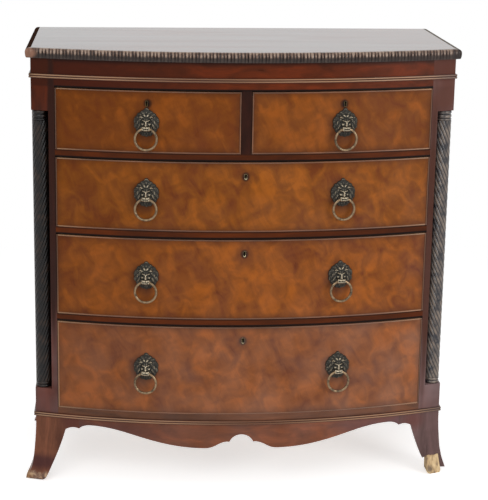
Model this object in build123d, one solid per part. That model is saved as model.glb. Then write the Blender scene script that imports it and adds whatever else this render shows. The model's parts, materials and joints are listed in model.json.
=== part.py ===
from build123d import *
import math
import os

# Bow front chest of drawers: two short drawers over three long ones, in a case
# with reeded corner columns, on splayed bracket feet. Millimetres, +Z up, front
# towards -Y. The origin is on the floor, under the middle of the whole chest.
# The front of the case, the rails and the drawers share one vertical axis of
# curvature, so a front surface is named by its radius about that axis.

# ---- Top ----
TOP_WIDTH = 1050.0
TOP_DEPTH = 492.0
TOP_BOW = 83.5
TOP_THICKNESS = 24.0
OVERHANG = 12.0
BACK_OVERHANG = 4.0
GADROON_DEPTH = 14.0
GADROON_TOP_INSET = 8.8
GADROON_FOOT_INSET = 3.8
GADROON_BULGE_HEIGHT = 14.5

# ---- Heights of the case, from the floor up ----
BASE_HEIGHT = 167.0
BOTTOM_RAIL_HEIGHT = 27.5
LOWER_OPENING = 228.5
MIDDLE_OPENING = 203.0
UPPER_OPENING = 173.5
SHORT_OPENING = 151.5
RAIL_THICKNESS = 18.0
FRIEZE_HEIGHT = 68.0

# ---- Case ----
SIDE_THICKNESS = 18.0
BACKBOARD_THICKNESS = 10.0
BACKBOARD_COUNT = 4
BACKBOARD_JOINT = 0.4
DUSTBOARD_THICKNESS = 10.0
FRIEZE_THICKNESS = 22.0
POST_WALL = 20.0
STILE_WIDTH = 15.0
DIVIDER_WIDTH = 24.0
GUIDE_HEIGHT = 20.0
KICKER_WIDTH = 45.0
KICKER_HEIGHT = 20.0
STOP_WIDTH = 30.0
STOP_DEPTH = 12.0
STOP_HEIGHT = 7.0
STOP_SPREAD_LONG = 300.0
STOP_SPREAD_SHORT = 120.0
STOP_GAP = 0.3

# ---- Corner columns ----
COLUMN_RADIUS = 19.5
COLUMN_INSET = 1.5
COLUMN_SETBACK = 2.0
NOTCH_GAP = 1.0
UPPER_BLOCK_HEIGHT = 127.0
LOWER_BLOCK_HEIGHT = 74.0
REED_COUNT = 12
REED_DEPTH = 1.9
REED_LEAD = 234.0
ASTRAGAL_HEIGHT = 6.2
HEAD_RING_HEIGHT = 9.9
FOOT_RING_HEIGHT = 8.0
COLLAR_GROOVE = 2.2

# ---- String mouldings ----
STRING_HEIGHT = 11.0
STRING_BASE = 1.8
STRING_PROUD = 4.4
UPPER_STRING_RISE = 25.0

# ---- Apron and feet: each depth is measured down from the case ----
APRON_THICKNESS = 20.0
APRON_ARCH_DEPTH = 26.0
APRON_ARCH_SIDE_DEPTH = 46.0
APRON_ARCH_SIDE_X = 30.0
APRON_SHOULDER_DEPTH = 46.5
APRON_SHOULDER_X = 44.0
APRON_DROP_DEPTH = 63.0
APRON_DROP_X = 92.0
APRON_SWELL_DEPTH = 37.0
APRON_SWELL_X = 254.0
APRON_CREST_DEPTH = 14.7
APRON_CREST_X = 375.0
CUSP_DEPTH = 25.5
CUSP_INSET = 108.5
CUSP_ARCH_RISE = 2.2
LEG_INSET = 77.0
LEG_DEPTH = 30.0
KNEE_INSET = 53.0
KNEE_HEIGHT = 68.5
TOE_INSET = 20.0
TOE_SPLAY = 28.0
SPLAY_DEPTH = 72.0
GLUE_BLOCK = 32.0
GLUE_BLOCK_HEIGHT = 70.0

# ---- Drawers ----
DRAWER_SIDE_GAP = 1.2
DRAWER_TOP_GAP = 2.0
DRAWER_BOTTOM_GAP = 0.3
DRAWER_BACK_GAP = 12.0
FRONT_THICKNESS = 22.0
LINING = 10.0
SIDE_DROP = 4.0
BACK_DROP = 3.0
BOTTOM_THICKNESS = 7.0
BOTTOM_RISE = 10.0
BEAD_WIDTH = 3.2
BEAD_DEPTH = 7.0
BEAD_PROUD = 2.0
TAIL_PITCH = 36.0
TAIL_ROOT = 15.0
TAIL_TIP = 21.0
TAIL_LAP = 8.0

# ---- Locks ----
LOCK_WIDTH = 64.0
LOCK_HEIGHT = 48.0
LOCK_THICKNESS = 9.0
LOCK_WALL = 2.2
BOLT_WIDTH = 28.0
BOLT_THICKNESS = 4.0
BOLT_HEIGHT = 20.0
BOLT_GAP = 0.3
BOLT_RECESS = 0.5
MORTISE_DEPTH = 10.0
MORTISE_GAP = 1.0
KEYHOLE_RADIUS = 2.6
KEYHOLE_SLOT = 3.0
KEYHOLE_LENGTH = 9.0
KEYHOLE_DROP_LONG = 32.0
KEYHOLE_DROP_SHORT = 27.0
ESCUTCHEON_RIM = 1.3
ESCUTCHEON_DEPTH = 2.0
ESCUTCHEON_PROUD = 0.4

# ---- Lion mask ring handles ----
MASK_X = 237.0
MASK_RISE_LONG = 7.0
MASK_RISE_SHORT = -2.0
MASK_RADIUS = 31.0
MASK_LOBES = 14
MASK_LOBE_DEPTH = 2.4
MASK_PLATE = 4.5
FACE_RADIUS = 21.0
FACE_HEIGHT = 11.0
BROW_RADIUS = 6.0
BROW_SPREAD = 8.0
BROW_RISE = 12.0
EAR_RADIUS = 5.0
EAR_SPREAD = 18.0
EAR_RISE = 20.0
EAR_CLEARANCE = 0.5
MUZZLE_HALF = 5.7
MUZZLE_RADIUS = 6.2
MUZZLE_RISE = 9.0
HINGE_DROP = 12.0
HINGE_OUT = 14.0
RING_RADIUS = 26.0
RING_WIRE = 3.0
PIN_RADIUS = 2.6
PIN_RUNNING_GAP = 0.06
PIN_SIDE_GAP = 0.3
PIN_OVERLAP = 0.5
STUD_RADIUS = 3.0
STUD_LENGTH = 32.0
STUD_GAP = 0.25
NUT_FLATS = 11.0
NUT_HEIGHT = 5.0
NUT_GAP = 0.1

# ---- Worked out from the sizes above ----
BOW_RADIUS = ((TOP_WIDTH / 2) ** 2 + TOP_BOW**2) / (2 * TOP_BOW)
AXIS_Y = BOW_RADIUS - TOP_DEPTH / 2
FRONT_RADIUS = BOW_RADIUS - OVERHANG
CASE_HALF = TOP_WIDTH / 2 - OVERHANG
CASE_BACK = TOP_DEPTH / 2 - BACK_OVERHANG
INNER_BACK = CASE_BACK - BACKBOARD_THICKNESS
INNER_HALF = CASE_HALF - SIDE_THICKNESS
COLUMN_X = CASE_HALF - COLUMN_INSET - COLUMN_RADIUS
NOTCH_X = COLUMN_X - COLUMN_RADIUS - NOTCH_GAP
OPENING_HALF = NOTCH_X - STILE_WIDTH
APRON_ARCH_TOP = BASE_HEIGHT - APRON_ARCH_DEPTH
APRON_ARCH_SIDE = BASE_HEIGHT - APRON_ARCH_SIDE_DEPTH
APRON_SHOULDER = BASE_HEIGHT - APRON_SHOULDER_DEPTH
APRON_DROP = BASE_HEIGHT - APRON_DROP_DEPTH
APRON_SWELL = BASE_HEIGHT - APRON_SWELL_DEPTH
APRON_CREST = BASE_HEIGHT - APRON_CREST_DEPTH
CUSP_HEIGHT = BASE_HEIGHT - CUSP_DEPTH
LEG_HEIGHT = BASE_HEIGHT - LEG_DEPTH
SPLAY_HEIGHT = BASE_HEIGHT - SPLAY_DEPTH
RAIL_SEAT = BASE_HEIGHT + BOTTOM_RAIL_HEIGHT
MIDDLE_SEAT = RAIL_SEAT + LOWER_OPENING + RAIL_THICKNESS
UPPER_SEAT = MIDDLE_SEAT + MIDDLE_OPENING + RAIL_THICKNESS
SHORT_SEAT = UPPER_SEAT + UPPER_OPENING + RAIL_THICKNESS
FRIEZE_SEAT = SHORT_SEAT + SHORT_OPENING
CASE_TOP = FRIEZE_SEAT + FRIEZE_HEIGHT
COLUMN_FOOT = BASE_HEIGHT + LOWER_BLOCK_HEIGHT
COLUMN_HEAD = CASE_TOP - UPPER_BLOCK_HEIGHT
HEAD_RINGS = (ASTRAGAL_HEIGHT, HEAD_RING_HEIGHT, HEAD_RING_HEIGHT)
FOOT_RINGS = (FOOT_RING_HEIGHT, FOOT_RING_HEIGHT)
FACE_INNER = FRONT_RADIUS - FRONT_THICKNESS
DRAWER_BACK = INNER_BACK - DRAWER_BACK_GAP
REACH = 2 * TOP_WIDTH
CUT_PAST = 1.0

BOW_AXIS = Axis((0, AXIS_Y, 0), (0, 0, 1))
# Local x runs out along the radius at the middle of the front, local y is up.
RADIAL_PLANE = Plane(origin=(0, AXIS_Y, 0), x_dir=(0, -1, 0), z_dir=(-1, 0, 0))
FRONT_ELEVATION = Plane.XZ
SIDE_ELEVATION = Plane.YZ


def bow_y(radius, x):
    """The y of the curve of this radius about the bow axis, at this x."""
    return AXIS_Y - math.sqrt(radius**2 - x**2)


COLUMN_Y = bow_y(FRONT_RADIUS, COLUMN_X) + COLUMN_SETBACK + COLUMN_RADIUS
NOTCH_BACK = COLUMN_Y + COLUMN_RADIUS + NOTCH_GAP
POST_BACK = NOTCH_BACK + POST_WALL
CORNER_Y = bow_y(FRONT_RADIUS, CASE_HALF)


def box(x0, x1, y0, y1, z0, z1):
    """A box between two corners."""
    size = Box(x1 - x0, y1 - y0, z1 - z0)
    return Pos((x0 + x1) / 2, (y0 + y1) / 2, (z0 + z1) / 2) * size


def mirrored(shape):
    """The same piece for the other side of the chest."""
    return mirror(shape, about=Plane.YZ)


def raised(edges, z0, z1):
    """A prism between two heights on a closed outline drawn in plan."""
    return extrude(Pos(0, 0, z0) * make_face(edges), z1 - z0, dir=(0, 0, 1))


def front_arc(radius, x0, x1):
    """The arc of this radius about the bow axis, between two values of x."""
    middle = (x0 + x1) / 2
    return ThreePointArc(
        (x0, bow_y(radius, x0)), (middle, bow_y(radius, middle)), (x1, bow_y(radius, x1))
    )


def bowed_board(radius, x0, x1, back, z0, z1):
    """A board with a curved front edge and a straight back edge."""
    sides = Polyline(
        (x1, bow_y(radius, x1)), (x1, back), (x0, back), (x0, bow_y(radius, x0))
    )
    return raised([front_arc(radius, x0, x1), sides], z0, z1)


def bowed_strip(outer, inner, x0, x1, z0, z1):
    """A strip between two curves about the bow axis."""
    ends = [
        Line((x0, bow_y(outer, x0)), (x0, bow_y(inner, x0))),
        Line((x1, bow_y(outer, x1)), (x1, bow_y(inner, x1))),
    ]
    return raised([front_arc(outer, x0, x1), front_arc(inner, x0, x1), *ends], z0, z1)


def turned_about_bow(profile, half_width):
    """A profile in radius and height, carried round the front past half_width."""
    half_angle = math.degrees(math.asin(half_width / FRONT_RADIUS)) + 1
    swept = revolve(RADIAL_PLANE * profile, BOW_AXIS, 2 * half_angle)
    middle = swept.center()
    turn = math.degrees(math.atan2(middle.X, AXIS_Y - middle.Y))
    return swept.rotate(BOW_AXIS, -turn)


def at_front(x):
    """Where the front surface is at x, turned so that local -Y faces out of it."""
    angle = math.degrees(math.asin(x / FRONT_RADIUS))
    return Pos(x, bow_y(FRONT_RADIUS, x), 0) * Rot(0, 0, angle)


def write(node, *pieces):
    """Writes the pieces of one node as a STEP file."""
    solids = [solid for piece in pieces for solid in piece.solids()]
    shape = solids[0] if len(solids) == 1 else Compound(children=solids)
    export_step(shape, f"parts/{node}.step")


# ---------------------------------------------------------------- top


def gadroon_profile(outer):
    """The thumb moulding's section, with its outermost point at this distance."""
    back = outer - GADROON_DEPTH
    foot = (outer - GADROON_FOOT_INSET, CASE_TOP)
    head = (outer - GADROON_TOP_INSET, CASE_TOP + TOP_THICKNESS)
    crest = (outer, CASE_TOP + GADROON_BULGE_HEIGHT)
    below = Spline(foot, crest, tangents=[(1, 2), (0, 1)])
    above = Spline(crest, head, tangents=[(0, 1), (-2, 1)])
    rest = Polyline(head, (back, CASE_TOP + TOP_THICKNESS), (back, CASE_TOP), foot)
    return make_face([below, above, rest])


def mitre_wedge(outer_x, outer_y, inner_x, inner_y):
    """All that lies in front of the right corner's mitre and beyond the middle."""
    slope = (outer_y - inner_y) / (outer_x - inner_x)
    far_y = outer_y + slope * OVERHANG
    outline = Polyline(
        (0, -REACH),
        (outer_x + OVERHANG, -REACH),
        (outer_x + OVERHANG, far_y),
        (inner_x - GADROON_DEPTH, inner_y - slope * GADROON_DEPTH),
        (0, inner_y - slope * GADROON_DEPTH),
        close=True,
    )
    return raised([outline], 0, REACH)


def mitred_mouldings(profile_of, radius, half_width, depth, back):
    """A moulding's front run and right side run, cut to meet at the corner."""
    inner_x = half_width - depth
    wedge = mitre_wedge(
        half_width, bow_y(radius, half_width), inner_x, bow_y(radius - depth, inner_x)
    )
    front = turned_about_bow(profile_of(radius), half_width)
    front = front & (wedge + mirrored(wedge))
    start = bow_y(radius, 0)
    section = Plane.XZ.offset(-back) * profile_of(half_width)
    side = extrude(section, back - start, dir=(0, -1, 0)) - wedge
    return front, side


def make_top():
    """The top board and its gadrooned edge on three sides."""
    board = bowed_board(
        BOW_RADIUS - GADROON_DEPTH,
        GADROON_DEPTH - TOP_WIDTH / 2,
        TOP_WIDTH / 2 - GADROON_DEPTH,
        TOP_DEPTH / 2,
        CASE_TOP,
        CASE_TOP + TOP_THICKNESS,
    )
    front, side = mitred_mouldings(
        gadroon_profile, BOW_RADIUS, TOP_WIDTH / 2, GADROON_DEPTH, TOP_DEPTH / 2
    )
    write("top_board", board)
    write("gadroon_front", front)
    write("gadroon_sides", side, mirrored(side))


# ---------------------------------------------------------------- string mouldings


def string_profile(height):
    """Gives the double bead's section, as a function of its inner distance."""
    low = height - STRING_HEIGHT / 2
    high = height + STRING_HEIGHT / 2

    def section(face):
        shelf = face + STRING_BASE
        edges = []
        for foot, head in ((low, height), (height, high)):
            crest = (face + STRING_PROUD, (foot + head) / 2)
            ends = [(1, 0), (-1, 0)]
            edges.append(Spline((shelf, foot), crest, (shelf, head), tangents=ends))
        edges.append(Polyline((shelf, high), (face, high), (face, low), (shelf, low)))
        return make_face(edges)

    return section


def make_string(node, height):
    """One double bead moulding round the front and both sides of the case."""
    section = string_profile(height)
    inner_x = CASE_HALF
    outer_x = CASE_HALF + STRING_PROUD
    wedge = mitre_wedge(
        outer_x, bow_y(FRONT_RADIUS + STRING_PROUD, outer_x), inner_x, CORNER_Y
    )
    front = turned_about_bow(section(FRONT_RADIUS), outer_x)
    front = front & (wedge + mirrored(wedge))
    profile = Plane.XZ.offset(-CASE_BACK) * section(CASE_HALF)
    side = extrude(profile, CASE_BACK - bow_y(FRONT_RADIUS, 0), dir=(0, -1, 0)) - wedge
    write(node, front, side, mirrored(side))


# ---------------------------------------------------------------- case


def bolt_mortise(x, rail_bottom):
    """The pocket that a lock bolt rises into, in the underside of a rail."""
    half = BOLT_WIDTH / 2 + MORTISE_GAP
    back = FRONT_THICKNESS - LOCK_WALL
    pocket = box(
        -half,
        half,
        back - BOLT_THICKNESS - MORTISE_GAP,
        back + MORTISE_GAP,
        rail_bottom - CUT_PAST,
        rail_bottom + MORTISE_DEPTH,
    )
    return at_front(x) * pocket


def make_rails():
    """The frieze, the three drawer rails, and the bottom rail."""
    half = OPENING_HALF
    frieze_back = bow_y(FRONT_RADIUS, half) + FRIEZE_THICKNESS
    frieze = bowed_board(FRONT_RADIUS, -half, half, frieze_back, FRIEZE_SEAT, CASE_TOP)
    for x in (-MASK_X, MASK_X):
        frieze -= bolt_mortise(x, FRIEZE_SEAT)
    rails = []
    for seat in (MIDDLE_SEAT, UPPER_SEAT, SHORT_SEAT):
        low = seat - RAIL_THICKNESS
        rail = bowed_board(FRONT_RADIUS, -half, half, POST_BACK, low, seat)
        rails.append(rail - bolt_mortise(0, low))
    bottom = bowed_board(FRONT_RADIUS, -half, half, POST_BACK, BASE_HEIGHT, RAIL_SEAT)
    write("frieze_rail", frieze)
    write("drawer_rails", *rails)
    write("bottom_rail", bottom)


def make_boards():
    """The side panels, the backboards, and the boards between the drawers."""
    side = box(INNER_HALF, CASE_HALF, POST_BACK, CASE_BACK, BASE_HEIGHT, CASE_TOP)
    write("side_panel_right", side)
    write("side_panel_left", mirrored(side))
    pitch = 2 * INNER_HALF / BACKBOARD_COUNT
    backs = []
    for index in range(BACKBOARD_COUNT):
        left = -INNER_HALF + index * pitch
        right = left + pitch - BACKBOARD_JOINT
        backs.append(box(left, right, INNER_BACK, CASE_BACK, BASE_HEIGHT, CASE_TOP))
    write("backboards", *backs)
    boards = []
    for seat in (RAIL_SEAT, MIDDLE_SEAT, UPPER_SEAT, SHORT_SEAT):
        low = seat - DUSTBOARD_THICKNESS
        boards.append(box(-INNER_HALF, INNER_HALF, POST_BACK, INNER_BACK, low, seat))
    write("dustboards", *boards)


def make_guides():
    """The strips beside and above the drawers, and the stops behind their fronts."""
    pieces = []
    for seat in (RAIL_SEAT, MIDDLE_SEAT, UPPER_SEAT, SHORT_SEAT):
        guide = box(OPENING_HALF, INNER_HALF, POST_BACK, INNER_BACK, seat, seat + GUIDE_HEIGHT)
        pieces += [guide, mirrored(guide)]
    kicker_front = bow_y(FRONT_RADIUS, OPENING_HALF) + FRIEZE_THICKNESS
    kicker_top = FRIEZE_SEAT + KICKER_HEIGHT
    kicker = box(
        INNER_HALF - KICKER_WIDTH, INNER_HALF, POST_BACK, INNER_BACK, FRIEZE_SEAT, kicker_top
    )
    middle = box(
        -KICKER_WIDTH / 2, KICKER_WIDTH / 2, kicker_front, INNER_BACK, FRIEZE_SEAT, kicker_top
    )
    pieces += [kicker, mirrored(kicker), middle]
    short_middle = (DIVIDER_WIDTH / 2 + OPENING_HALF) / 2
    places = [(seat, STOP_SPREAD_LONG) for seat in (RAIL_SEAT, MIDDLE_SEAT, UPPER_SEAT)]
    places += [(SHORT_SEAT, short_middle + side * STOP_SPREAD_SHORT) for side in (-1, 1)]
    for seat, x in places:
        front = bow_y(FACE_INNER, x + STOP_WIDTH / 2) + STOP_GAP
        left = x - STOP_WIDTH / 2
        block = box(left, left + STOP_WIDTH, front, front + STOP_DEPTH, seat, seat + STOP_HEIGHT)
        pieces += [block, mirrored(block)]
    write("drawer_guides", *pieces)


def make_divider():
    """The post between the short drawers, and the partition behind it."""
    half = DIVIDER_WIDTH / 2
    post = bowed_board(FRONT_RADIUS, -half, half, POST_BACK, SHORT_SEAT, FRIEZE_SEAT)
    partition = box(-half, half, POST_BACK, INNER_BACK, SHORT_SEAT, FRIEZE_SEAT)
    write("centre_divider", post, partition)


def make_posts():
    """The corner posts: a stile, two plain blocks and the notch for the column."""
    post = bowed_board(FRONT_RADIUS, OPENING_HALF, CASE_HALF, POST_BACK, BASE_HEIGHT, CASE_TOP)
    post -= box(NOTCH_X, REACH, -REACH, NOTCH_BACK, COLUMN_FOOT, COLUMN_HEAD)
    write("corner_post_right", post)
    write("corner_post_left", mirrored(post))


# ---------------------------------------------------------------- columns


def reeded_outline():
    """The shaft's section: convex reeds that meet in sharp valleys."""
    valley = COLUMN_RADIUS - REED_DEPTH
    step = 2 * math.pi / REED_COUNT
    arcs = []
    for index in range(REED_COUNT):
        start = index * step
        crest = start + step / 2
        end = start + step
        arcs.append(
            ThreePointArc(
                (valley * math.cos(start), valley * math.sin(start)),
                (COLUMN_RADIUS * math.cos(crest), COLUMN_RADIUS * math.sin(crest)),
                (valley * math.cos(end), valley * math.sin(end)),
            )
        )
    return Wire([arc.edge() for arc in arcs])


def turned_collar(ring_heights):
    """A collar turned with round rings of these heights, from the bottom up."""
    edges = []
    neck = COLUMN_RADIUS - COLLAR_GROOVE
    bottom = 0.0
    for height in ring_heights:
        top = bottom + height
        middle = (bottom + top) / 2
        edges.append(ThreePointArc((neck, bottom), (COLUMN_RADIUS, middle), (neck, top)))
        bottom = top
    edges.append(Polyline((neck, bottom), (0, bottom), (0, 0), (neck, 0)))
    return revolve(Plane.XZ * make_face(edges), Axis.Z, 360)


def make_columns():
    """The two ebonised columns, reeded in opposite hands."""
    low = COLUMN_FOOT + sum(FOOT_RINGS)
    high = COLUMN_HEAD - sum(HEAD_RINGS)
    turn = 360 * (high - low) / REED_LEAD
    section = Face(reeded_outline())
    head = turned_collar(HEAD_RINGS)
    foot = turned_collar(FOOT_RINGS)
    for node, side in (("column_left", -1), ("column_right", 1)):
        shaft = Solid.extrude_linear_with_rotation(
            section, (0, 0, 0), (0, 0, high - low), -side * turn
        )
        place = Pos(side * COLUMN_X, COLUMN_Y, 0)
        write(
            node,
            place * Pos(0, 0, low) * shaft,
            place * Pos(0, 0, high) * head,
            place * Pos(0, 0, COLUMN_FOOT) * foot,
        )


# ---------------------------------------------------------------- apron and feet


def bracket_edge(corner, direction):
    """The bracket's lower edge in elevation, from the apron's cusp to the toe."""
    cusp = (corner - direction * CUSP_INSET, CUSP_HEIGHT)
    leg = (corner - direction * LEG_INSET, LEG_HEIGHT)
    toe = (corner - direction * TOE_INSET, 0)
    rise = (corner - direction * (LEG_INSET + CUSP_INSET) / 2, CUSP_HEIGHT + CUSP_ARCH_RISE)
    knee = (corner - direction * KNEE_INSET, KNEE_HEIGHT)
    arch = ThreePointArc(cusp, rise, leg)
    calf = Spline(leg, knee, toe)
    return arch, calf, cusp, toe


def splay_arc(face):
    """The foot's outer edge: upright at the splay height, kicked out at the floor."""
    sweep = (SPLAY_HEIGHT**2 + TOE_SPLAY**2) / (2 * TOE_SPLAY)
    middle = SPLAY_HEIGHT / 2
    offset = sweep - math.sqrt(sweep**2 - (SPLAY_HEIGHT - middle) ** 2)
    return ThreePointArc((face, SPLAY_HEIGHT), (face + offset, middle), (face + TOE_SPLAY, 0))


def splayed_section(face):
    """A facing's section in distance and height, splayed out below."""
    inner = face - APRON_THICKNESS
    top = BASE_HEIGHT
    toe = (face + TOE_SPLAY, 0)
    rest = Polyline(toe, (inner, 0), (inner, top), (face, top), (face, SPLAY_HEIGHT))
    return make_face([splay_arc(face), rest])


def bracket_face(corner, direction):
    """A bracket foot's elevation, from the cusp out past its splayed toe."""
    arch, calf, cusp, toe = bracket_edge(corner, direction)
    beyond = corner + direction * 2 * TOE_SPLAY
    rest = Polyline(toe, (beyond, 0), (beyond, BASE_HEIGHT), (cusp[0], BASE_HEIGHT), cusp)
    return make_face([arch, calf, rest])


def side_facing(elevation):
    """A side facing with this elevation, splayed out to the right."""
    section = Plane.XZ.offset(-CASE_BACK) * splayed_section(CASE_HALF)
    run = extrude(section, CASE_BACK - CORNER_Y, dir=(0, -1, 0))
    return run & extrude(SIDE_ELEVATION * elevation, REACH, dir=(1, 0, 0))


def make_front_feet():
    """The front bracket feet, with a glue block in the corner of each."""
    outline = FRONT_ELEVATION * bracket_face(CASE_HALF, 1)
    facing = turned_about_bow(splayed_section(FRONT_RADIUS), CASE_HALF + 2 * TOE_SPLAY)
    facing &= extrude(outline, REACH, both=True)
    side_section = Plane.XZ.offset(-CASE_BACK) * splayed_section(CASE_HALF)
    inside = box(0, INNER_HALF, -REACH, REACH, 0, BASE_HEIGHT)
    facing &= extrude(side_section, 2 * REACH, dir=(0, -1, 0)) + inside
    foot = facing + side_facing(bracket_face(CORNER_Y, -1))
    inner_x = CASE_HALF - APRON_THICKNESS
    block_left = inner_x - GLUE_BLOCK
    block_back = bow_y(FRONT_RADIUS - APRON_THICKNESS, inner_x) + GLUE_BLOCK
    block_foot = BASE_HEIGHT - GLUE_BLOCK_HEIGHT
    block = bowed_board(
        FRONT_RADIUS - APRON_THICKNESS, block_left, inner_x, block_back, block_foot, BASE_HEIGHT
    )
    write("front_foot_right", foot, block)
    write("front_foot_left", mirrored(foot), mirrored(block))


def make_back_feet():
    """The back feet: a splayed side facing and a plain bracket across the back."""
    facing = side_facing(bracket_face(CASE_BACK, 1))
    inner_x = CASE_HALF - APRON_THICKNESS
    edge = Line((inner_x - LEG_INSET, LEG_HEIGHT), (inner_x - TOE_INSET, 0))
    rest = Polyline(
        (inner_x - TOE_INSET, 0),
        (inner_x, 0),
        (inner_x, BASE_HEIGHT),
        (inner_x - LEG_INSET, BASE_HEIGHT),
        (inner_x - LEG_INSET, LEG_HEIGHT),
    )
    bracket = extrude(
        FRONT_ELEVATION.offset(-CASE_BACK) * make_face([edge, rest]), APRON_THICKNESS, dir=(0, -1, 0)
    )
    foot = facing + bracket
    write("back_feet", foot, mirrored(foot))


def make_apron():
    """The shaped front apron and the two side aprons."""
    cusp_x = CASE_HALF - CUSP_INSET
    middle = (0, APRON_ARCH_TOP)
    cusp_in = (APRON_ARCH_SIDE_X, APRON_ARCH_SIDE)
    shoulder = (APRON_SHOULDER_X, APRON_SHOULDER)
    drop = (APRON_DROP_X, APRON_DROP)
    crest = (APRON_CREST_X, APRON_CREST)
    cusp = (cusp_x, CUSP_HEIGHT)
    level = [(1, 0), (1, 0)]
    arch = TangentArc(middle, cusp_in, tangent=(1, 0))
    fall_away = Spline(cusp_in, shoulder, drop, tangents=[(2, 1), (1, 0)])
    swell = Spline(drop, (APRON_SWELL_X, APRON_SWELL), crest, tangents=level)
    fall = Spline(crest, cusp, tangents=[(1, 0), (1, -1)])
    rest = Polyline(cusp, (cusp_x, BASE_HEIGHT), (0, BASE_HEIGHT), middle)
    half = FRONT_ELEVATION * make_face([arch, fall_away, swell, fall, rest])
    cutter = extrude(half, REACH, dir=(0, -1, 0))
    strip = bowed_strip(FRONT_RADIUS, FRONT_RADIUS - APRON_THICKNESS, -cusp_x, cusp_x, 0, BASE_HEIGHT)
    front = strip & (cutter + mirrored(cutter))
    near = CORNER_Y + CUSP_INSET
    far = CASE_BACK - CUSP_INSET
    rise = ThreePointArc((near, CUSP_HEIGHT), ((near + far) / 2, APRON_CREST), (far, CUSP_HEIGHT))
    top = Polyline((far, CUSP_HEIGHT), (far, BASE_HEIGHT), (near, BASE_HEIGHT), (near, CUSP_HEIGHT))
    inner = Plane.YZ.offset(CASE_HALF - APRON_THICKNESS)
    side_apron = extrude(inner * make_face([rise, top]), APRON_THICKNESS, dir=(1, 0, 0))
    write("apron", front, side_apron, mirrored(side_apron))


# ---------------------------------------------------------------- drawers


def keyhole_outline(rim):
    """A round keyhole over a short slot, made larger all round by the rim."""
    radius = KEYHOLE_RADIUS + rim
    half = KEYHOLE_SLOT / 2 + rim
    slot = Pos(0, -KEYHOLE_LENGTH / 2) * Rectangle(2 * half, KEYHOLE_LENGTH + 2 * rim)
    return Circle(radius) + slot


def keyhole(height, rim, y0, y1):
    """The keyhole's outline as a prism through the front, in the local frame."""
    face = FRONT_ELEVATION.offset(-y1) * Pos(0, height) * keyhole_outline(rim)
    return extrude(face, y1 - y0, dir=(0, -1, 0))


def lock_pieces(x, top, drop):
    """A lock with its escutcheon, its bolt, and what they take out of the front."""
    place = at_front(x)
    back = FRONT_THICKNESS - LOCK_WALL
    lock_front = FRONT_THICKNESS - LOCK_THICKNESS
    half = LOCK_WIDTH / 2
    case = box(-half, half, lock_front, FRONT_THICKNESS - BOLT_GAP, top - LOCK_HEIGHT, top)
    recess = box(-half, half, lock_front, 2 * FRONT_THICKNESS, top - LOCK_HEIGHT, top + LOCK_HEIGHT)
    bolt_half = BOLT_WIDTH / 2
    bolt_top = top - BOLT_RECESS
    bolt_foot = bolt_top - BOLT_HEIGHT
    bolt = box(-bolt_half, bolt_half, back - BOLT_THICKNESS, back, bolt_foot, bolt_top)
    slot = box(
        -bolt_half - BOLT_GAP,
        bolt_half + BOLT_GAP,
        back - BOLT_THICKNESS - BOLT_GAP,
        back + BOLT_GAP,
        bolt_foot - BOLT_GAP,
        top + CUT_PAST,
    )
    key_height = top - drop
    case -= slot + keyhole(key_height, 0, lock_front - CUT_PAST, lock_front + LOCK_WALL)
    rim = keyhole(key_height, ESCUTCHEON_RIM, -ESCUTCHEON_PROUD, ESCUTCHEON_DEPTH)
    through = keyhole(key_height, 0, -CUT_PAST, FRONT_THICKNESS)
    removed = recess + rim + through
    return place * case, place * (rim - through), place * bolt, place * removed


def scalloped_plate():
    """The mask's back plate, with a lobed edge like the ends of a mane."""
    step = 2 * math.pi / MASK_LOBES
    valley = MASK_RADIUS - MASK_LOBE_DEPTH
    arcs = []
    for index in range(MASK_LOBES):
        start = index * step
        crest = start + step / 2
        end = start + step
        arcs.append(
            ThreePointArc(
                (valley * math.sin(start), valley * math.cos(start)),
                (MASK_RADIUS * math.sin(crest), MASK_RADIUS * math.cos(crest)),
                (valley * math.sin(end), valley * math.cos(end)),
            )
        )
    return extrude(FRONT_ELEVATION * make_face(arcs), MASK_PLATE, dir=(0, -1, 0))


def lion_mask():
    """A lion mask about its centre, with the ring's bore through its muzzle."""
    plate = scalloped_plate()
    dome = (FACE_RADIUS**2 + FACE_HEIGHT**2) / (2 * FACE_HEIGHT)
    face = Pos(0, dome - MASK_PLATE - FACE_HEIGHT, 0) * Sphere(dome)
    face &= Rot(90, 0, 0) * Cylinder(FACE_RADIUS, 4 * FACE_HEIGHT)
    face -= box(-REACH, REACH, -MASK_PLATE / 2, REACH, -REACH, REACH)
    ring_room = box(
        -2 * MASK_RADIUS,
        2 * MASK_RADIUS,
        -4 * HINGE_OUT,
        -MASK_PLATE,
        -2 * MASK_RADIUS,
        -HINGE_DROP + MUZZLE_RADIUS,
    )
    mask = plate + (face - ring_room)
    for side in (-1, 1):
        mask += Pos(side * BROW_SPREAD, -MASK_PLATE - FACE_HEIGHT / 2, BROW_RISE) * Sphere(BROW_RADIUS)
        ear_out = EAR_RADIUS + EAR_CLEARANCE
        mask += Pos(side * EAR_SPREAD, -ear_out, EAR_RISE) * Sphere(EAR_RADIUS)
    across_muzzle = Pos(0, -HINGE_OUT, -HINGE_DROP) * Rot(0, 90, 0)
    muzzle_round = across_muzzle * Cylinder(MUZZLE_RADIUS, 2 * MUZZLE_HALF)
    muzzle_neck = box(
        -MUZZLE_HALF,
        MUZZLE_HALF,
        -HINGE_OUT,
        -MASK_PLATE / 2,
        -HINGE_DROP - MUZZLE_RADIUS,
        -HINGE_DROP + MUZZLE_RISE,
    )
    bore = across_muzzle * Cylinder(PIN_RADIUS + PIN_RUNNING_GAP, 4 * MUZZLE_HALF)
    stud = Pos(0, STUD_LENGTH / 2, 0) * Rot(90, 0, 0) * Cylinder(STUD_RADIUS, STUD_LENGTH)
    return mask + muzzle_round + muzzle_neck + stud - bore


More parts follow.
